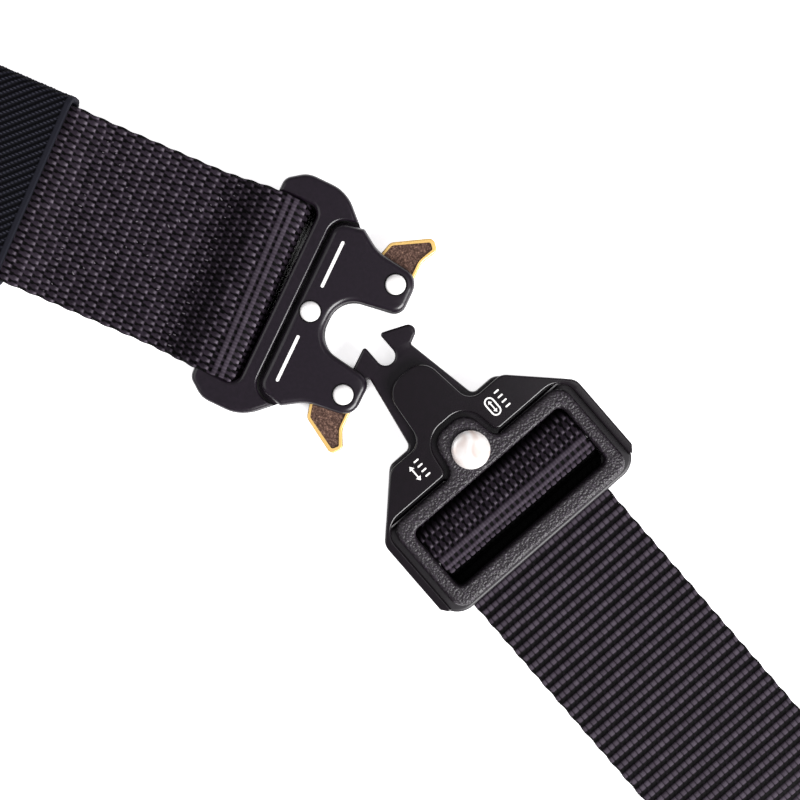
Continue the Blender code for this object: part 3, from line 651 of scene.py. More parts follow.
stitches, given = new_tree("lockstitches", [("Seam", "Geometry"), ("Step", "Float"), ("Length", "Float"),
                                            ("Thickness", "Float"), ("Seed", "Int"), ("Thread", "Material")])
seam = add(stitches, "GeometryNodeMeshToCurve", Mesh=given["Seam"])
steps_on_seam = add(stitches, "GeometryNodeResampleCurve", {"mode": "LENGTH"}, Curve=seam.outputs["Curve"],
                    Length=given["Step"])
bead = add(stitches, "GeometryNodeMeshIcoSphere", {"Radius": 0.5, "Subdivisions": 2})
size = add(stitches, "ShaderNodeCombineXYZ", X=given["Length"], Y=given["Thickness"], Z=given["Thickness"])
stitch = add(stitches, "GeometryNodeTransform", Geometry=bead.outputs["Mesh"], Scale=size.outputs["Vector"])
heading = add(stitches, "FunctionNodeAlignRotationToVector",
              Vector=add(stitches, "GeometryNodeInputTangent").outputs["Tangent"])
uneven = add(stitches, "FunctionNodeRandomValue", {"data_type": "FLOAT", "input2": 0.45, "input3": 1.1},
             Seed=given["Seed"])
laid = add(stitches, "GeometryNodeInstanceOnPoints", Points=steps_on_seam.outputs["Curve"],
           Instance=stitch.outputs["Geometry"], Rotation=heading.outputs["Rotation"],
           Scale=uneven.outputs[1])
close_tree(stitches, laid.outputs["Instances"], given["Thread"])

# Bonded nylon thread, black itself, is coloured grey: a painted highlight for the glint on each
# stitch. Its coat makes it smoother than the strap.
thread, _, _ = new_material("bonded_nylon_thread", "#5a545b", 0.5, Specular_IOR_Level=0.3)
cross_far = SEAM_FAR + CROSS_INSET
cross_near = SEAM_NEAR - CROSS_INSET
seams = {"seam_threads": ([((SEAM_NEAR, -SEAM_HALF), (SEAM_NEAR, SEAM_HALF)),
                           ((SEAM_FAR, -SEAM_HALF), (SEAM_FAR, SEAM_HALF))], 3),
         "cross_threads": ([((cross_far, -CROSS_HALF), (cross_near, CROSS_HALF)),
                            ((cross_far, CROSS_HALF), (cross_near, -CROSS_HALF))], 8)}
for name, (lines, seed) in seams.items():
    sewing = grown(name, seam_path(name, lines), stitches,
                   {"Step": STITCH_STEP * MM, "Length": STITCH_LENGTH * MM, "Thickness": THREAD_THICK * MM,
                    "Seed": seed, "Thread": thread})
    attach(sewing, "belt")

# Keeper band, a loop of navy black twill pushed over the sewn end
# The ribs of the twill run at 45 degrees to the strap, 1.25 mm apart. The band's edges are
# folded under and lie smooth.
KEEPER_WALL = 1.15
KEEPER_HALF = 20.65
KEEPER_TOP = 7.28
KEEPER_CORNER = 2.4
TWILL_STEP = 0.25
RIB_PITCH = 1.25
RIB_LEAN = -45
RIB_HEIGHT = 0.3
TWILL_YARN = 0.75
HEM = 1.0


def keeper_loop():
    """(v, z) round the band and the way out there, from under its middle and back."""
    middle_height = KEEPER_TOP / 2
    flat = KEEPER_HALF - KEEPER_CORNER
    side = middle_height - KEEPER_CORNER
    stretches = [((0, -1), (0, -middle_height), (-flat, -middle_height)),
                 ((-1, 0), (-KEEPER_HALF, -side), (-KEEPER_HALF, side)),
                 ((0, 1), (-flat, middle_height), (flat, middle_height)),
                 ((1, 0), (KEEPER_HALF, side), (KEEPER_HALF, -side)),
                 ((0, -1), (flat, -middle_height), (0, -middle_height))]
    loop = []
    for out, start, end in stretches:
        for share in spaced(0, 1, TWILL_STEP / math.dist(start, end))[:-1]:
            loop.append((*Vector(start).lerp(Vector(end), share), *out))
        if end[0] == 0:
            break
        heading = math.atan2(out[1], out[0])
        centre = (end[0] - out[0] * KEEPER_CORNER, end[1] - out[1] * KEEPER_CORNER)
        for turn in spaced(0, math.pi / 2, TWILL_STEP / KEEPER_CORNER)[:-1]:
            way = (math.cos(heading - turn), math.sin(heading - turn))
            loop.append((centre[0] + KEEPER_CORNER * way[0], centre[1] + KEEPER_CORNER * way[1], *way))
    return np.array(loop)


def keeper_mesh():
    """The band as a fine closed mesh, with how far along and around each point lies."""
    loop = keeper_loop()
    outer = np.array(spaced(KEEPER_START - KEEPER_WIDTH, KEEPER_START, TWILL_STEP))
    profile = [(u, 0.0) for u in outer] + [(u, KEEPER_WALL) for u in (outer[-1], outer.mean(), outer[0])]
    profile = np.array(profile)
    rings = np.zeros((len(loop), len(profile), 3))
    rings[..., 0] = profile[None, :, 0]
    rings[..., 1] = loop[:, None, 0] - loop[:, None, 2] * profile[None, :, 1]
    rings[..., 2] = loop[:, None, 1] - loop[:, None, 3] * profile[None, :, 1] + KEEPER_TOP / 2
    around = np.concatenate([[0], np.cumsum(np.hypot(*np.diff(loop[:, :2], axis=0).T))])
    hem = np.minimum(profile[:, 0] - outer[0], outer[-1] - profile[:, 0])
    face = smooth((hem - HEM) / 0.3) * (profile[:, 1] == 0)
    return rings, around, profile[:, 0], face


TWILL_INPUTS = ("Rib Pitch", "Rib Lean", "Rib Height", "Yarn Pitch")
twill_nodes, given = new_tree("twill", [("Band", "Geometry"), ("Cloth", "Material")]
                              + [(label, "Float") for label in TWILL_INPUTS])
terms = {label: given[label] for label in TWILL_INPUTS}
for label in ("along_mm", "around_mm", "face"):
    stored = add(twill_nodes, "GeometryNodeInputNamedAttribute", {"data_type": "FLOAT", "Name": label})
    terms[label] = stored.outputs[0]

# How high each point of the twill stands and how light it is painted, step by step: the name of
# each number, how it is reckoned, and the names or plain numbers that it comes from.
TWILL_STEPS = [("sine", "SINE", "Rib Lean"),
               ("cosine", "COSINE", "Rib Lean"),
               ("along_sine", "MULTIPLY", "along_mm", "sine"),
               ("around_cosine", "MULTIPLY", "around_mm", "cosine"),
               ("across_ribs", "ADD", "along_sine", "around_cosine"),
               ("along_cosine", "MULTIPLY", "along_mm", "cosine"),
               ("around_sine", "MULTIPLY", "around_mm", "sine"),
               ("down_ribs", "SUBTRACT", "along_cosine", "around_sine"),
               ("rib_count", "DIVIDE", "across_ribs", "Rib Pitch"),
               ("yarns_down", "DIVIDE", "down_ribs", "Yarn Pitch"),
               ("yarn_count", "ADD", "yarns_down", "rib_count"),
               ("rib_turn", "MULTIPLY", "rib_count", 2 * math.pi),
               ("rib_wave", "COSINE", "rib_turn"),
               ("rib", "MULTIPLY_ADD", "rib_wave", 0.5, 0.5),
               ("yarn_turn", "MULTIPLY", "yarn_count", 2 * math.pi),
               ("yarn_wave", "COSINE", "yarn_turn"),
               ("yarn", "MULTIPLY_ADD", "yarn_wave", 0.4, 0.6),
               ("rib_and_yarn", "MULTIPLY", "rib", "yarn"),
               ("relief", "MULTIPLY", "rib_and_yarn", "face"),
               ("sunk", "SUBTRACT", "relief", "face"),
               ("push", "MULTIPLY", "sunk", "Rib Height"),
               ("hem", "SUBTRACT", 1.0, "face"),
               ("hem_tone", "MULTIPLY", "hem", 0.52),
               ("crown", "ADD", "relief", "hem_tone")]
for label, operation, *operands in TWILL_STEPS:
    reckoned = add(twill_nodes, "ShaderNodeMath", {"operation": operation})
    for socket, operand in zip(reckoned.inputs, operands):
        if operand in terms:
            twill_nodes.links.new(terms[operand], socket)
        else:
            socket.default_value = operand
    terms[label] = reckoned.outputs["Value"]
normals = add(twill_nodes, "GeometryNodeInputNormal").outputs["Normal"]
push = add(twill_nodes, "ShaderNodeVectorMath", {"operation": "SCALE"}, Vector=normals, Scale=terms["push"])
toned = add(twill_nodes, "GeometryNodeStoreNamedAttribute", {"data_type": "FLOAT", "Name": "crown"},
            Geometry=given["Band"], Value=terms["crown"])
raised = add(twill_nodes, "GeometryNodeSetPosition", Geometry=toned.outputs["Geometry"],
             Offset=push.outputs["Vector"])
close_tree(twill_nodes, raised.outputs["Geometry"], given["Cloth"])

# Fine polyester, dyed navy black and woven as twill
# Each rib is painted a shade lighter than the grooves between them, painted highlight and
# painted shade that follow the relief, so it shows as a dotted slanting line.
twill, tree, shader = new_material("navy_black_twill", "#1b1c26", 0.75, Specular_IOR_Level=0.08)
painted_light_value = add(tree, "ShaderNodeAttribute", {"attribute_name": "crown"}).outputs["Fac"]
# Painted light: ribs bright, grooves dark.
rib_painted_light = add(tree, "ShaderNodeValToRGB", Fac=painted_light_value,
                 stops=[(0.05, "#010103"), (0.4, "#0c0c13"), (0.9, "#363640")])
tree.links.new(rib_painted_light.outputs["Color"], shader.inputs["Base Color"])
rings, around, along, face = keeper_mesh()
band = tube("keeper_band_blank", rings, np.zeros(rings.shape[:2]), np.zeros((*rings.shape[:2], 2)), twill,
            closed=True)
pivot = Matrix.Translation((*SOCKET_PIVOT, 0))
band.data.transform(Matrix.Scale(1 / MM, 4))
band.data.transform(SOCKET @ pivot @ Matrix.Rotation(math.radians(SOCKET_TURN), 4, "Z") @ pivot.inverted())
for label, values in {"around_mm": np.repeat(around, len(along)), "along_mm": np.tile(along, len(around)),
                      "face": np.tile(face, len(around))}.items():
    stored = band.data.attributes.new(label, "FLOAT", "POINT")
    stored.data.foreach_set("value", values.astype(np.float32))
keeper = grown("keeper_band_twill", band.data, twill_nodes,
               {"Rib Pitch": RIB_PITCH, "Rib Lean": math.radians(RIB_LEAN), "Rib Height": RIB_HEIGHT * MM,
                "Yarn Pitch": TWILL_YARN, "Cloth": twill})
bpy.data.objects.remove(band)
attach(keeper, "belt")
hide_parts("keeper_band")

# Socket casting and its cover, zinc die castings under a satin black electrocoat
# The casting holds the strap's bar and the lower ears, the cover closes it from above, and
# three rivets hold them together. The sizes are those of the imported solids, but arcs are
# finer here and edges rounder, since a cast edge catches a soft line of light.
SHELL_TOP = 7.4
SHELL_RIM = 1.0
SLOT_END = 19.75
SLOT_MOUTH = 19.0
BASE_TOP = 2.4
COVER_BOTTOM = 6.2
COVER_TOP = 8.4
COVER_RIM = 1.2
BAR_RADIUS = 1.85
BAR_END = SLOT_END + 1.6
RIVET_HEAD = 2.05
RIVET_SHANK = 1.3
RIVET_FOOT_TOP = 0.9
EAR_PIVOT = (13.1, 12.2)
WELL_MARGIN = 0.85
WELL_LIP = 0.5
ARC_STEP = 6
EDGE_STEPS = 5
SHARP_FROM = 40


def mirrored(corners, axis=0.0):
    """Close a half outline, given from v = axis upwards, with its mirror image."""
    return list(corners) + [(u, 2 * axis - v, r) for u, v, r in reversed(corners)]


def box_corners(u0, u1, v0, v1, radius=0.0):
    """Corners of a rectangle, counter-clockwise."""
    return [(u0, v0, radius), (u1, v0, radius), (u1, v1, radius), (u0, v1, radius)]


def disc(centre, radius):
    """Corners of a circle, counter-clockwise."""
    turns = [math.radians(degrees) for degrees in range(0, 360, ARC_STEP)]
    return [(centre[0] + radius * math.cos(a), centre[1] + radius * math.sin(a), 0.0) for a in turns]


def neighbours(corners):
    """Each corner between the one before and the one after."""
    return zip(corners[-1:] + corners[:-1], corners, corners[1:] + corners[:1])


def inset_corners(corners, inset):
    """Move every side inwards by inset, and keep the fillets concentric."""
    area = sum(a[0] * b[1] - b[0] * a[1] for a, b in zip(corners, corners[1:] + corners[:1]))
    side = math.copysign(1.0, area)
    moved = []
    for before, (u, v, radius), after in neighbours(corners):
        into = Vector((u - before[0], v - before[1])).normalized()
        out = Vector((after[0] - u, after[1] - v)).normalized()
        bisector = (into.orthogonal() + out.orthogonal()) * side
        spot = Vector((u, v)) + bisector * (2 * inset / bisector.length_squared)
        convex = into.cross(out) * side > 0
        if radius > 0:
            radius = max(radius - inset if convex else radius + inset, 0.05)
        moved.append((spot.x, spot.y, radius))
    return moved


def filleted(corners):
    """Points of the outline, with each rounded corner as an arc of fine steps."""
    points = []
    for before, (u, v, radius), after in neighbours(corners):
        here = Vector((u, v))
        if radius == 0.0:
            points.append(here)
            continue
        to_last = (Vector(before[:2]) - here).normalized()
        to_next = (Vector(after[:2]) - here).normalized()
        turn = math.pi - to_last.angle(to_next)
        centre = here + (to_last + to_next).normalized() * (radius / math.cos(turn / 2))
        start = here + to_last * radius * math.tan(turn / 2) - centre
        handed = math.copysign(turn, -to_last.cross(to_next))
        steps = max(2, round(math.degrees(turn) / ARC_STEP))
        points += [centre + Matrix.Rotation(handed * k / steps, 2) @ start for k in range(steps + 1)]
    return points


def rounded(bottom, top, foot, crown):
    """(height, inset) rows of a wall whose lower and upper edges are quarter rounds."""
    quarter = [math.pi / 2 * k / EDGE_STEPS for k in range(EDGE_STEPS + 1)]
    low = [(bottom + foot * (1 - math.cos(a)), foot * (1 - math.sin(a))) for a in quarter]
    return low + [(top - crown * (1 - math.sin(a)), crown * (1 - math.cos(a))) for a in quarter]


def walled(body, rings):
    """Faces between rings of points that lie one above the other."""
    for low, high in zip(rings, rings[1:]):
        for k in range(len(low)):
            body.faces.new((low[k - 1], low[k], high[k], high[k - 1]))


def blank(name, body, home):
    """A bmesh body as a new object, brought from a half's axes to the world."""
    mesh = bpy.data.meshes.new(name)
    body.to_mesh(mesh)
    body.free()
    mesh.transform(home)
    return placed(name, mesh)


def plate(outer, holes, levels, home, hole_share=1.0):
    """A solid from outlines: levels lists (height, inset) from the bottom up.

    The holes are inset by hole_share of what the outer wall is.
    """
    body = bmesh.new()
    stacks = []
    for corners, sign in [(outer, 1.0)] + [(hole, -hole_share) for hole in holes]:
        rings = []
        for height, inset in levels:
            points = filleted(inset_corners(corners, sign * inset))
            rings.append([body.verts.new((p.x, p.y, height)) for p in points])
        stacks.append(rings)
        walled(body, rings)
    for end in (0, -1):
        rim = [body.edges.get((rings[end][k - 1], rings[end][k])) for rings in stacks
               for k in range(len(rings[end]))]
        bmesh.ops.triangle_fill(body, edges=rim, use_beauty=True)
    bmesh.ops.recalc_face_normals(body, faces=body.faces)
    return blank("plate", body, home)


def dressed(node, solid, look, body="belt", carving=()):
    """A solid joined with or cut by others, shaded and given its finish, for a node."""
    for operation, tool in carving:
        step = solid.modifiers.new("carving", "BOOLEAN")
        step.operation = operation
        step.solver = "EXACT"
        step.object = tool
    mesh = bpy.data.meshes.new_from_object(solid.evaluated_get(bpy.context.evaluated_depsgraph_get()))
    for used in [solid] + [tool for _, tool in carving]:
        bpy.data.objects.remove(used)
    mesh.name = node + "_piece"
    mesh.materials.clear()
    mesh.materials.append(look)
    mesh.shade_smooth()
    mesh.set_sharp_from_angle(angle=math.radians(SHARP_FROM))
    made = placed(node + "_piece", mesh)
    ease_normals = made.modifiers.new("normals", "WEIGHTED_NORMAL")
    ease_normals.keep_sharp = True
    ease_normals.weight = 60
    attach(made, body)
    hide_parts(node)


def mottled(name, dark, light, roughness, metallic, grain_mm, bump_mm, wall_shade=None):
    """A metal whose colour and surface vary a little at the scale of its grain.

    With a wall colour, steep faces take it as painted shade and turn matt.
    """
    made, tree, shader = new_material(name, dark, roughness, metallic)
    place = add(tree, "ShaderNodeTexCoord").outputs["Object"]
    grain = add(tree, "ShaderNodeTexNoise", {"Scale": 1 / (grain_mm * MM), "Detail": 3.0}, Vector=place)
    coat = add(tree, "ShaderNodeValToRGB", stops=[(0.35, dark), (0.7, light)],
               Fac=grain.outputs["Fac"]).outputs["Color"]
    # Painted shade: steep faces take the dark wall colour.
    if wall_shade:
        normal = add(tree, "ShaderNodeNewGeometry").outputs["Normal"]
        facing = add(tree, "ShaderNodeSeparateXYZ", Vector=normal)
        upward = add(tree, "ShaderNodeMapRange", {"From Min": 0.0, "From Max": 0.3},
                     Value=facing.outputs["Z"])
        mixed = add(tree, "ShaderNodeMix", {"data_type": "RGBA", "input6": linear(wall_shade)},
                    input0=upward.outputs["Result"], input7=coat)
        coat = mixed.outputs[2]
        matt = add(tree, "ShaderNodeMapRange", {"To Min": 0.8, "To Max": roughness},
                   Value=upward.outputs["Result"])
        tree.links.new(matt.outputs["Result"], shader.inputs["Roughness"])
    tree.links.new(coat, shader.inputs["Base Color"])
    bump = add(tree, "ShaderNodeBump", {"Strength": 0.5, "Distance": bump_mm * MM},
               Height=grain.outputs["Fac"])
    tree.links.new(bump.outputs["Normal"], shader.inputs["Normal"])
    return made


def bored(spot, radius, low, high):
    """A round cut about a spot of the socket, from low to high."""
    return "DIFFERENCE", plate(disc(spot, radius), [], [(low, 0), (high, 0)], SOCKET)


SHELL = mirrored([(2.3, 19.1, 0.3), (-3.8, 25.05, 8.0), (-12.4, 25.05, 5.0),
                  (-16.3, 22.15, 2.4), (-16.3, SLOT_MOUTH, 0.6), (-7.2, SLOT_END, 2.2)])
COVER = mirrored([(3.85, 5.2, 5.3), (16.75, 7.2, 2.7), (16.75, 15.6, 3.4),
                  (7.0, 16.75, 8.0), (2.7, 19.6, 0.5), (-3.0, 18.5, 2.8)])
RIVETS = {"rivet_centre": (0.0, 0.0), "rivet_ear_upper": EAR_PIVOT,
          "rivet_ear_lower": (EAR_PIVOT[0], -EAR_PIVOT[1])}
PAINTED_WALL_SHADE = "#040304"
# Satin electrocoat on zinc: faint orange peel 0.7 mm wide, with a slight violet cast where it
# catches the light, and painted shade, a dull black, down the steep sides.
satin = mottled("satin_black_coated_zinc", "#130c15", "#19111b", 0.29, 0.0, 0.7, 0.012, PAINTED_WALL_SHADE)
flare = [(SHELL_TOP - WELL_LIP * (1 - math.sin(a)), -0.01 - WELL_LIP * (1 - math.cos(a)))
         for a in (0.0, 0.35, 0.7, 1.05, 1.4)]
bar_axes = SOCKET @ Matrix(((1, 0, 0, 0), (0, 0, -1, 0), (0, 1, 0, 0), (0, 0, 0, 1)))
bar_section = box_corners(-16.15, -11.35, BAR_HEIGHT - BAR_RADIUS, BAR_HEIGHT + BAR_RADIUS,
                          BAR_RADIUS - 0.05)
well = [(BASE_TOP + 0.1, 0.0)] + flare + [(SHELL_TOP + 2, -WELL_LIP)]
carving = [("UNION", plate(bar_section, [], [(-BAR_END, 0), (BAR_END, 0)], bar_axes)),
           ("DIFFERENCE", plate(inset_corners(COVER, -WELL_MARGIN), [], well, SOCKET)),
           ("UNION", plate(inset_corners(COVER, 0.1), [], rounded(0.0, BASE_TOP, 0.3, 0.3), SOCKET))]
for spot in RIVETS.values():
    carving.append(bored(spot, RIVET_SHANK + GAP, -1, BASE_TOP + 1))
    carving.append(bored(spot, RIVET_HEAD + GAP, -1, RIVET_FOOT_TOP))
dressed("socket_frame", plate(SHELL, [], rounded(0.1, SHELL_TOP, 0.5, SHELL_RIM), SOCKET), satin,
        carving=carving)
seats = [bored(spot, RIVET_HEAD + GAP, COVER_TOP - 1, COVER_TOP + 1) for spot in RIVETS.values()]
dressed("socket_cover",
        plate(COVER, [disc(spot, RIVET_SHANK + GAP) for spot in RIVETS.values()],
              rounded(COVER_BOTTOM, COVER_TOP, 0.25, COVER_RIM), SOCKET, 0.0),
        satin, carving=seats)

# Barbed tongue, one zinc casting held to the adjuster by the large rivet
# Its coat is like the socket's but blacker and smoother. The two barbs catch behind the
# levers, and their tips are a little rounder here than in the solid.
PLATE_BOTTOM = 2.75
PLATE_TOP = 5.85
TONGUE_AXIS = -0.85
BIG_SHANK = 2.5
TONGUE = mirrored([(-24.2, 1.1, 1.9), (-30.4, 1.1, 0.55), (-26.9, 9.4, 1.45),
                   (-24.6, 4.6, 0.5), (-8.8, 7.5, 1.5), (-8.8, 13.05, 2.5),
                   (0.7, 22.35, 0.3), (0.7, 6.5, 0.4), (3.9, 5.85, 1.5)], TONGUE_AXIS)
# Smooth electrocoat on zinc: darker and glossier than the socket, with hardly any peel.
smooth_black = mottled("smooth_black_coated_zinc", "#110a12", "#160e17", 0.27, 0.0, 1.0, 0.008,
                       PAINTED_WALL_SHADE)
boss_bore = disc(BOSS, BIG_SHANK + GAP)
dressed("tongue", plate(TONGUE, [boss_bore], rounded(PLATE_BOTTOM, PLATE_TOP, 0.35, 0.6), TONGUE_HALF, 0.3),
        smooth_black)

# Yoke plate and slide bar, pressed steel in a smoother, glossier black
# The yoke lies over the tongue and embraces the adjuster. The slide bar lies loose in the
# adjuster's pockets, a wedge in section, and the strap turns round its thick edge.
YOKE_AXIS = -0.5
YOKE_BOTTOM = PLATE_TOP + GAP
YOKE_TOP = YOKE_BOTTOM + 2.0
SLIDE_REACH = 21.0
YOKE_OPENING = [(-8.4, 4.9, 4.9), (-0.2, 6.2, 1.4), (-0.2, 23.1, 4.2)]
YOKE_OUTSIDE = [(21.0, 23.1, 0.1), (21.0, 23.8, 0.5), (19.6, 24.9, 0.8), (2.5, 24.9, 3.0),
                (-8.1, 14.2, 2.8), (-8.1, 5.9, 3.2), (-21.0, 4.4, 4.2)]
# Gloss black coat on steel: a clear dark reflection and almost no grain.
gloss = mottled("gloss_black_coated_steel", "#0b060b", "#0f080f", 0.23, 0.0, 1.4, 0.006, PAINTED_WALL_SHADE)
dressed("yoke_plate", plate(mirrored(YOKE_OPENING + YOKE_OUTSIDE, YOKE_AXIS), [],
                            rounded(YOKE_BOTTOM, YOKE_TOP, 0.2, 0.4), TONGUE_HALF),
        gloss)


def wedge_section(big, small):
    """Outline round two circles of (u, z, radius): a bar with one thick edge."""
    reach = Vector((small[0] - big[0], small[1] - big[1]))
    facing = math.atan2(reach.y, reach.x)
    lean = math.acos((big[2] - small[2]) / reach.length)
    corners = []
    for (u, z, radius), first, sweep in ((big, facing + lean, 2 * (math.pi - lean)),
                                         (small, facing - lean, 2 * lean)):
        for turn in spaced(first, first + sweep, math.radians(ARC_STEP)):
            corners.append((u + radius * math.cos(turn), z + radius * math.sin(turn), 0.0))
    return corners


slide_axes = TONGUE_HALF @ Matrix(((1, 0, 0, 0), (0, 0, -1, YOKE_AXIS), (0, 1, 0, 0), (0, 0, 0, 1)))
dressed("slide_bar", plate(wedge_section(SLIDE_BIG, SLIDE_SMALL), [],
                           rounded(-SLIDE_REACH, SLIDE_REACH, 0.3, 0.3), slide_axes),
        gloss)

# Adjuster frame, a zinc casting sprayed with a wrinkle coat
# Its base lies under the yoke, and a raised frame with a round rim stands in the yoke's
# opening. It is cut out for the strap's slot and tunnel, the slide bar's pockets, the
# tongue's root and the large rivet.
FRAME_BOTTOM = 4.9
FRAME_TOP = 8.5
FRAME_RIM = 0.95
GROOVE = 1.1
TUNNEL_TOP = UPPER_LEG + WEB_THICK / 2 + GAP
POCKET_TOP = SLIDE_BIG[1] + SLIDE_BIG[2] + GAP
POCKET_HALF = SLIDE_REACH + 0.35
ADJUSTER_SLOT = box_corners(4.3, 19.0, -20.1, 19.2, 1.7)
TUNNEL = box_corners(18.0, 25.0, -20.7, 19.3)
POCKET = box_corners(SLIDE_SMALL[0] - SLIDE_SMALL[2] - GAP, SLIDE_BIG[0] + SLIDE_BIG[2] + GAP,
                     YOKE_AXIS - POCKET_HALF, YOKE_AXIS + POCKET_HALF)
FLANGE = mirrored([(1.0, 22.3, 0.3), (2.9, 24.45, 1.5), (23.6, 24.45, 4.8)], YOKE_AXIS)
RAISED = inset_corners(mirrored(YOKE_OPENING + [(23.7, 23.1, 4.1)], YOKE_AXIS), GROOVE)
TONGUE_SEAT = mirrored([(4.6, 7.1, 0.0), (0.9, 7.1, 0.0), (0.9, 12.0, 0.0), (-9.0, 12.0, 0.0)],
                       TONGUE_AXIS)
# Wrinkle paint dries into grains like leather, about half a millimetre across. Only the frame's
# top takes them, and there the colour follows each grain's height: a painted highlight on its top
# and painted shade in the pits. Its sides stay smooth and dark.
wrinkle, tree, shader = new_material("wrinkle_black_paint", "#1c191b", 0.46)
place = add(tree, "ShaderNodeTexCoord").outputs["Object"]
split = add(tree, "ShaderNodeSeparateXYZ", Vector=place)
sprayed = add(tree, "ShaderNodeMapRange", {"From Min": 6.9 * MM, "From Max": 7.5 * MM},
              Value=split.outputs["Z"]).outputs["Result"]
drift = add(tree, "ShaderNodeTexNoise", {"Scale": 1.5 / MM, "Detail": 2.0, "Distortion": 0.6}, Vector=place)
cells = add(tree, "ShaderNodeTexVoronoi", {"feature": "SMOOTH_F1", "Scale": 2.3 / MM, "Smoothness": 1.0},
            Vector=place)
height = add(tree, "ShaderNodeMath", {"operation": "SUBTRACT"}, input0=drift.outputs["Fac"],
             input1=cells.outputs["Distance"]).outputs["Value"]
wrinkles = add(tree, "ShaderNodeBump", {"Distance": 0.18 * MM}, Height=height, Strength=sprayed)
tree.links.new(wrinkles.outputs["Normal"], shader.inputs["Normal"])
# Painted light: grain tops painted light, pits dark.
painted_grain_light = add(tree, "ShaderNodeValToRGB", stops=[(0.0, "#171117"), (0.35, "#2c242e"), (0.6, "#433a47")],
               Fac=height)
tops = add(tree, "ShaderNodeMix", {"data_type": "RGBA", "input6": linear("#151016")}, input0=sprayed,
           input7=painted_grain_light.outputs["Color"])
tree.links.new(tops.outputs[2], shader.inputs["Base Color"])
carving = [("UNION", plate(FLANGE, [inset_corners(ADJUSTER_SLOT, -0.15)], rounded(0.0, PLATE_TOP, 0.5, 0.7),
                           TONGUE_HALF, 0.3))]
for outline, low, high in ((TONGUE_SEAT, -1.0, YOKE_BOTTOM), (TUNNEL, -1.0, TUNNEL_TOP),
                           (POCKET, -1.0, POCKET_TOP), (boss_bore, 4.0, 10.0)):
    carving.append(("DIFFERENCE", plate(outline, [], [(low, 0.0), (high, 0.0)], TONGUE_HALF)))
raised_frame = plate(RAISED, [ADJUSTER_SLOT], rounded(FRAME_BOTTOM, FRAME_TOP, 0.01, FRAME_RIM),
                     TONGUE_HALF, 0.7)
dressed("adjuster_frame", raised_frame, wrinkle, carving=carving)

# Release levers, stamped brass with an antiqued panel inside a bright rim
# Each turns on its ear's rivet between the cover and the casting. The panel is pressed in
# and darkened, and the rim is polished on top, with painted shade, a dark brown, down its sides.
PANEL_DEPTH = 0.35
PANEL_LEVEL = PLATE_TOP - 0.19
LEVER = [(15.85, 9.3, 2.6), (6.0, 8.8, 1.2), (6.2, 12.3, 1.2), (9.0, 13.2, 0.8),
         (7.6, 16.6, 0.8), (8.4, 19.6, 1.6), (15.9, 24.2, 1.25), (17.65, 22.1, 1.05),
         (15.85, 18.6, 4.0)]
LEVER_RECESS = [(15.2, 14.5, 0.2), (9.2, 14.5, 0.2), (8.3, 16.8, 0.4), (8.95, 19.15, 1.0),
                (15.7, 23.1, 0.6), (16.7, 21.95, 0.5), (15.2, 18.7, 3.5)]
# Antiqued brass: the panel is a mottle of browns with golden specks, where high spots rub
# bright, and the rim is a smooth warm gold.
brass, tree, shader = new_material("antiqued_brass", "#ffd884", 0.3, 0.8)
place = add(tree, "ShaderNodeTexCoord").outputs["Object"]
split = add(tree, "ShaderNodeSeparateXYZ", Vector=place)
normal = add(tree, "ShaderNodeNewGeometry").outputs["Normal"]
up = add(tree, "ShaderNodeSeparateXYZ", Vector=normal).outputs["Z"]
below = add(tree, "ShaderNodeMath", {"operation": "LESS_THAN", "input1": PANEL_LEVEL * MM},
            input0=split.outputs["Z"])
level = add(tree, "ShaderNodeMath", {"operation": "GREATER_THAN", "input1": 0.8}, input0=up)
panel = add(tree, "ShaderNodeMath", {"operation": "MULTIPLY"}, input0=below.outputs["Value"],
            input1=level.outputs["Value"]).outputs["Value"]
patina = add(tree, "ShaderNodeTexNoise", {"Scale": 2.6 / MM, "Detail": 4.0, "Roughness": 0.7}, Vector=place)
antique = add(tree, "ShaderNodeValToRGB", Fac=patina.outputs["Fac"],
              stops=[(0.32, "#362721"), (0.5, "#624a41"), (0.62, "#8e6f62"), (0.75, "#dab28a")])
faces = add(tree, "ShaderNodeMix", {"data_type": "RGBA", "input6": linear("#f8cd7c")}, input0=panel,
            input7=antique.outputs["Color"])
# Painted shade: steep faces turn a dark brown.
steep = add(tree, "ShaderNodeMath", {"operation": "LESS_THAN", "input1": 0.6}, input0=up)
painted_side_shade = add(tree, "ShaderNodeMix", {"data_type": "RGBA", "input7": linear("#7a5f30")},
           input0=steep.outputs["Value"], input6=faces.outputs[2])
tree.links.new(painted_side_shade.outputs[2], shader.inputs["Base Color"])
for socket_name, gain, base in (("Metallic", 0.4, 0.4), ("Roughness", 0.25, 0.27)):
    amount = add(tree, "ShaderNodeMath", {"operation": "MULTIPLY_ADD", "input1": gain, "input2": base},
                 input0=panel)
    tree.links.new(amount.outputs["Value"], shader.inputs[socket_name])
pits = add(tree, "ShaderNodeBump", {"Strength": 0.5, "Distance": 0.06 * MM}, Height=patina.outputs["Fac"])
tree.links.new(pits.outputs["Normal"], shader.inputs["Normal"])
for node, side, body in (("lever_upper", 1, "upper_lever"), ("lever_lower", -1, "lower_lever")):
    outline = [(u, side * v, r) for u, v, r in LEVER]
    recess = [(u, side * v, r) for u, v, r in LEVER_RECESS]
    bore = disc((EAR_PIVOT[0], side * EAR_PIVOT[1]), RIVET_SHANK + GAP)
    hollow = plate(recess, [], [(PLATE_TOP - PANEL_DEPTH, 0.0), (PLATE_TOP + 1.0, 0.0)], SOCKET)
    dressed(node, plate(outline, [bore], rounded(PLATE_BOTTOM, PLATE_TOP, 0.3, 0.35), SOCKET, 0.3),
            brass, body, [("DIFFERENCE", hollow)])

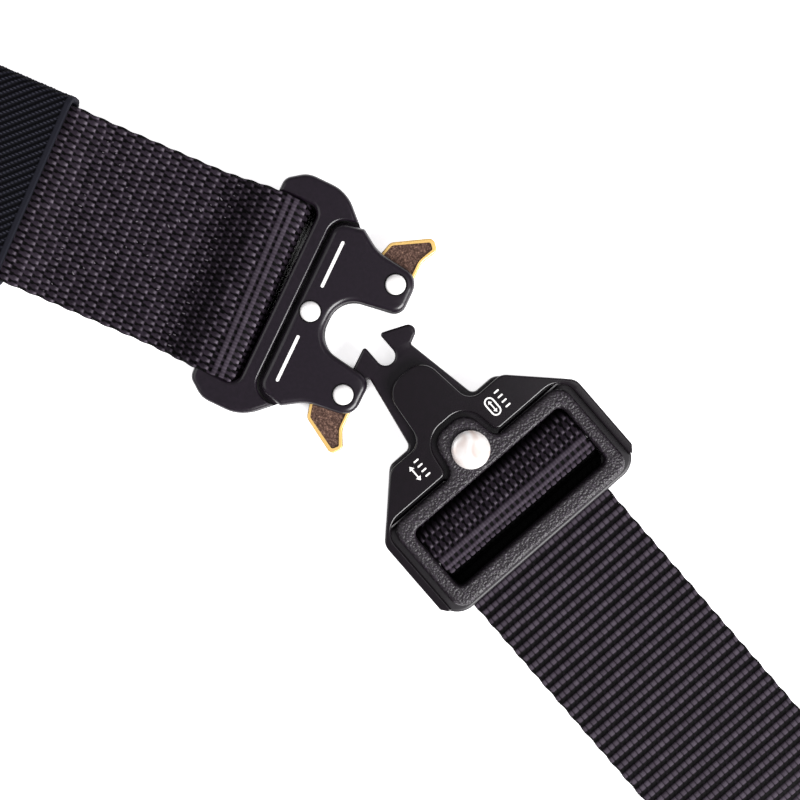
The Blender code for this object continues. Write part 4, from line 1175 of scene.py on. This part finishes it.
# Rivets, bright steel, headed on both sides by a domed tool
# Three small ones go through the socket, and a large one with a hand-polished head holds
# boss and tongue.
BIG_HEAD = 3.9
RIVET_SIDES = 64


def lathe(profile, centre, home):
    """A round piece from (radius, height) rows, from its foot to its crown."""
    body = bmesh.new()
    foot = body.verts.new((*centre, profile[0][1]))
    crown = body.verts.new((*centre, profile[-1][1]))
    turns = [2 * math.pi * k / RIVET_SIDES for k in range(RIVET_SIDES)]
    rings = [[body.verts.new((centre[0] + radius * math.cos(a), centre[1] + radius * math.sin(a), height))
              for a in turns] for radius, height in profile[1:-1]]
    walled(body, rings)
    for k in range(RIVET_SIDES):
        body.faces.new((rings[0][k], rings[0][k - 1], foot))
        body.faces.new((rings[-1][k - 1], rings[-1][k], crown))
    return blank("lathe", body, home)


# Polished steel, nearly white and a little clouded: partly its own reflection of the soft
# panels, partly a near-white colour that is painted reflection.
steel = mottled("polished_steel_rivet", "#fbf8f6", "#ffffff", 0.4, 0.3, 1.5, 0.002)
for rivet, spot in RIVETS.items():
    rows = [(0, 0.1), (1.7, 0.1), (RIVET_HEAD, 0.35), (RIVET_HEAD, 0.6), (RIVET_SHANK, 0.6),
            (RIVET_SHANK, COVER_TOP - 0.7), (RIVET_HEAD, COVER_TOP - 0.7), (RIVET_HEAD, COVER_TOP),
            (1.85, COVER_TOP + 0.25), (1.2, COVER_TOP + 0.45), (0, COVER_TOP + 0.5)]
    dressed(rivet, lathe(rows, spot, SOCKET), steel)
# Hand-polished steel, partly reflecting the room; its near-white colour and the warm streaks a
# few millimetres wide across the head are painted reflection.
steel_with_painted_reflections, tree, shader = new_material("hand_polished_steel_rivet", "#f6efea", 0.3, 0.4)
place = add(tree, "ShaderNodeTexCoord").outputs["Object"]
painted_reflections = add(tree, "ShaderNodeTexNoise", {"Scale": 0.2 / MM, "Detail": 1.0, "Distortion": 1.2}, Vector=place)
painted_reflection_colour = add(tree, "ShaderNodeValToRGB", Fac=painted_reflections.outputs["Fac"],
              stops=[(0.34, "#e2d2ca"), (0.46, "#f6eeea"), (0.58, "#fffdfb")])
tree.links.new(painted_reflection_colour.outputs["Color"], shader.inputs["Base Color"])
head = FRAME_TOP + GAP
rows = [(0, 1.3), (3.0, 1.3), (3.4, 1.6), (3.4, PLATE_BOTTOM - GAP), (BIG_SHANK, PLATE_BOTTOM - GAP),
        (BIG_SHANK, head), (BIG_HEAD - 0.15, head), (BIG_HEAD, head + 0.2), (BIG_HEAD - 0.15, head + 0.5),
        (3.1, head + 0.85), (1.8, head + 1.05), (0, head + 1.1)]
dressed("tongue_rivet", lathe(rows, BOSS, TONGUE_HALF), steel_with_painted_reflections)

# Engraved lines on the cover and printed marks on the yoke, in white enamel
# The two lines are filled flush. The marks are plain: a double arrow, another in a ring,
# and four ticks beside each.
LINE_ENDS = (5.3, 15.5)
LINE_WIDTH = 0.66
LINE_DEPTH = 0.2
LINE_PROUD = 0.01
PRINT = 0.02
PRINT_MIDDLE = -4.35
RING_PLACE = 8.7
ARROW_PLACE = -11.8
TICK_STEP = 1.2
TICK_HALF = 0.62
TICK_WIDTH = 0.34


def flat_marks(name, outlines, level, depth, home):
    """Thin slabs of enamel from outlines of (u, v) points, joined as one piece."""
    body = bmesh.new()
    for outline in outlines:
        low = [body.verts.new((u, v, level - depth)) for u, v in outline]
        high = [body.verts.new((u, v, level)) for u, v in outline]
        body.faces.new(high)
        body.faces.new(low[::-1])
        walled(body, [low, high])
    bmesh.ops.recalc_face_normals(body, faces=body.faces)
    made = blank(name, body, home)
    made.data.materials.append(enamel)
    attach(made, "belt")


def stadium(u, v0, v1, width, sides=8):
    """Outline of a bar with round ends along v."""
    half = width / 2
    points = []
    for centre, start in ((v1 - half, 0.0), (v0 + half, math.pi)):
        for k in range(sides + 1):
            angle = start + math.pi * k / sides
            points.append((u + half * math.cos(angle), centre + half * math.sin(angle)))
    return points


def turned_quarter(outline, u, v):
    """An outline turned so that its length runs along u, about the point (u, v)."""
    return [(u + (b - v), v - (a - u)) for a, b in outline]


def arrow(u, v, length, shaft, head, reach):
    """Outline of a double-headed arrow along u, about (u, v)."""
    half = shaft / 2
    tip = length / 2
    side = [(tip, 0), (tip - reach, head), (tip - reach, half), (reach - tip, half), (reach - tip, head)]
    points = side + [(-a, -b) for a, b in side]
    return [(u + a, v + b) for a, b in points]


def ring_band(u, v, length, width, band):
    """Outlines of a racetrack ring along u, as short straight-sided quads."""
    outer = turned_quarter(stadium(u, v - length / 2, v + length / 2, width), u, v)
    inner = turned_quarter(stadium(u, v - length / 2 + band, v + length / 2 - band, width - 2 * band), u, v)
    return [[outer[k - 1], outer[k], inner[k], inner[k - 1]] for k in range(len(outer))]


# White enamel: opaque, smooth and a little glossy, so it stays white from every side.
enamel, _, _ = new_material("white_enamel", "#f4f2f0", 0.45)
near, far = LINE_ENDS
lines = [stadium(0.0, near, far, LINE_WIDTH), stadium(0.0, -far, -near, LINE_WIDTH)]
flat_marks("line_enamel", lines, COVER_TOP + LINE_PROUD, LINE_DEPTH, SOCKET)
marks = ring_band(PRINT_MIDDLE, RING_PLACE, 4.2, 2.2, 0.32)
marks.append(arrow(PRINT_MIDDLE, RING_PLACE, 2.8, 0.26, 0.45, 0.65))
marks.append(arrow(PRINT_MIDDLE, ARROW_PLACE, 3.5, 0.3, 0.6, 0.8))
for row in (RING_PLACE + 2.5, ARROW_PLACE + 1.8):
    marks += [stadium(PRINT_MIDDLE + TICK_STEP * (k - 1.5), row - TICK_HALF, row + TICK_HALF, TICK_WIDTH)
              for k in range(4)]
flat_marks("yoke_print", marks, YOKE_TOP + PRINT, PRINT, TONGUE_HALF)
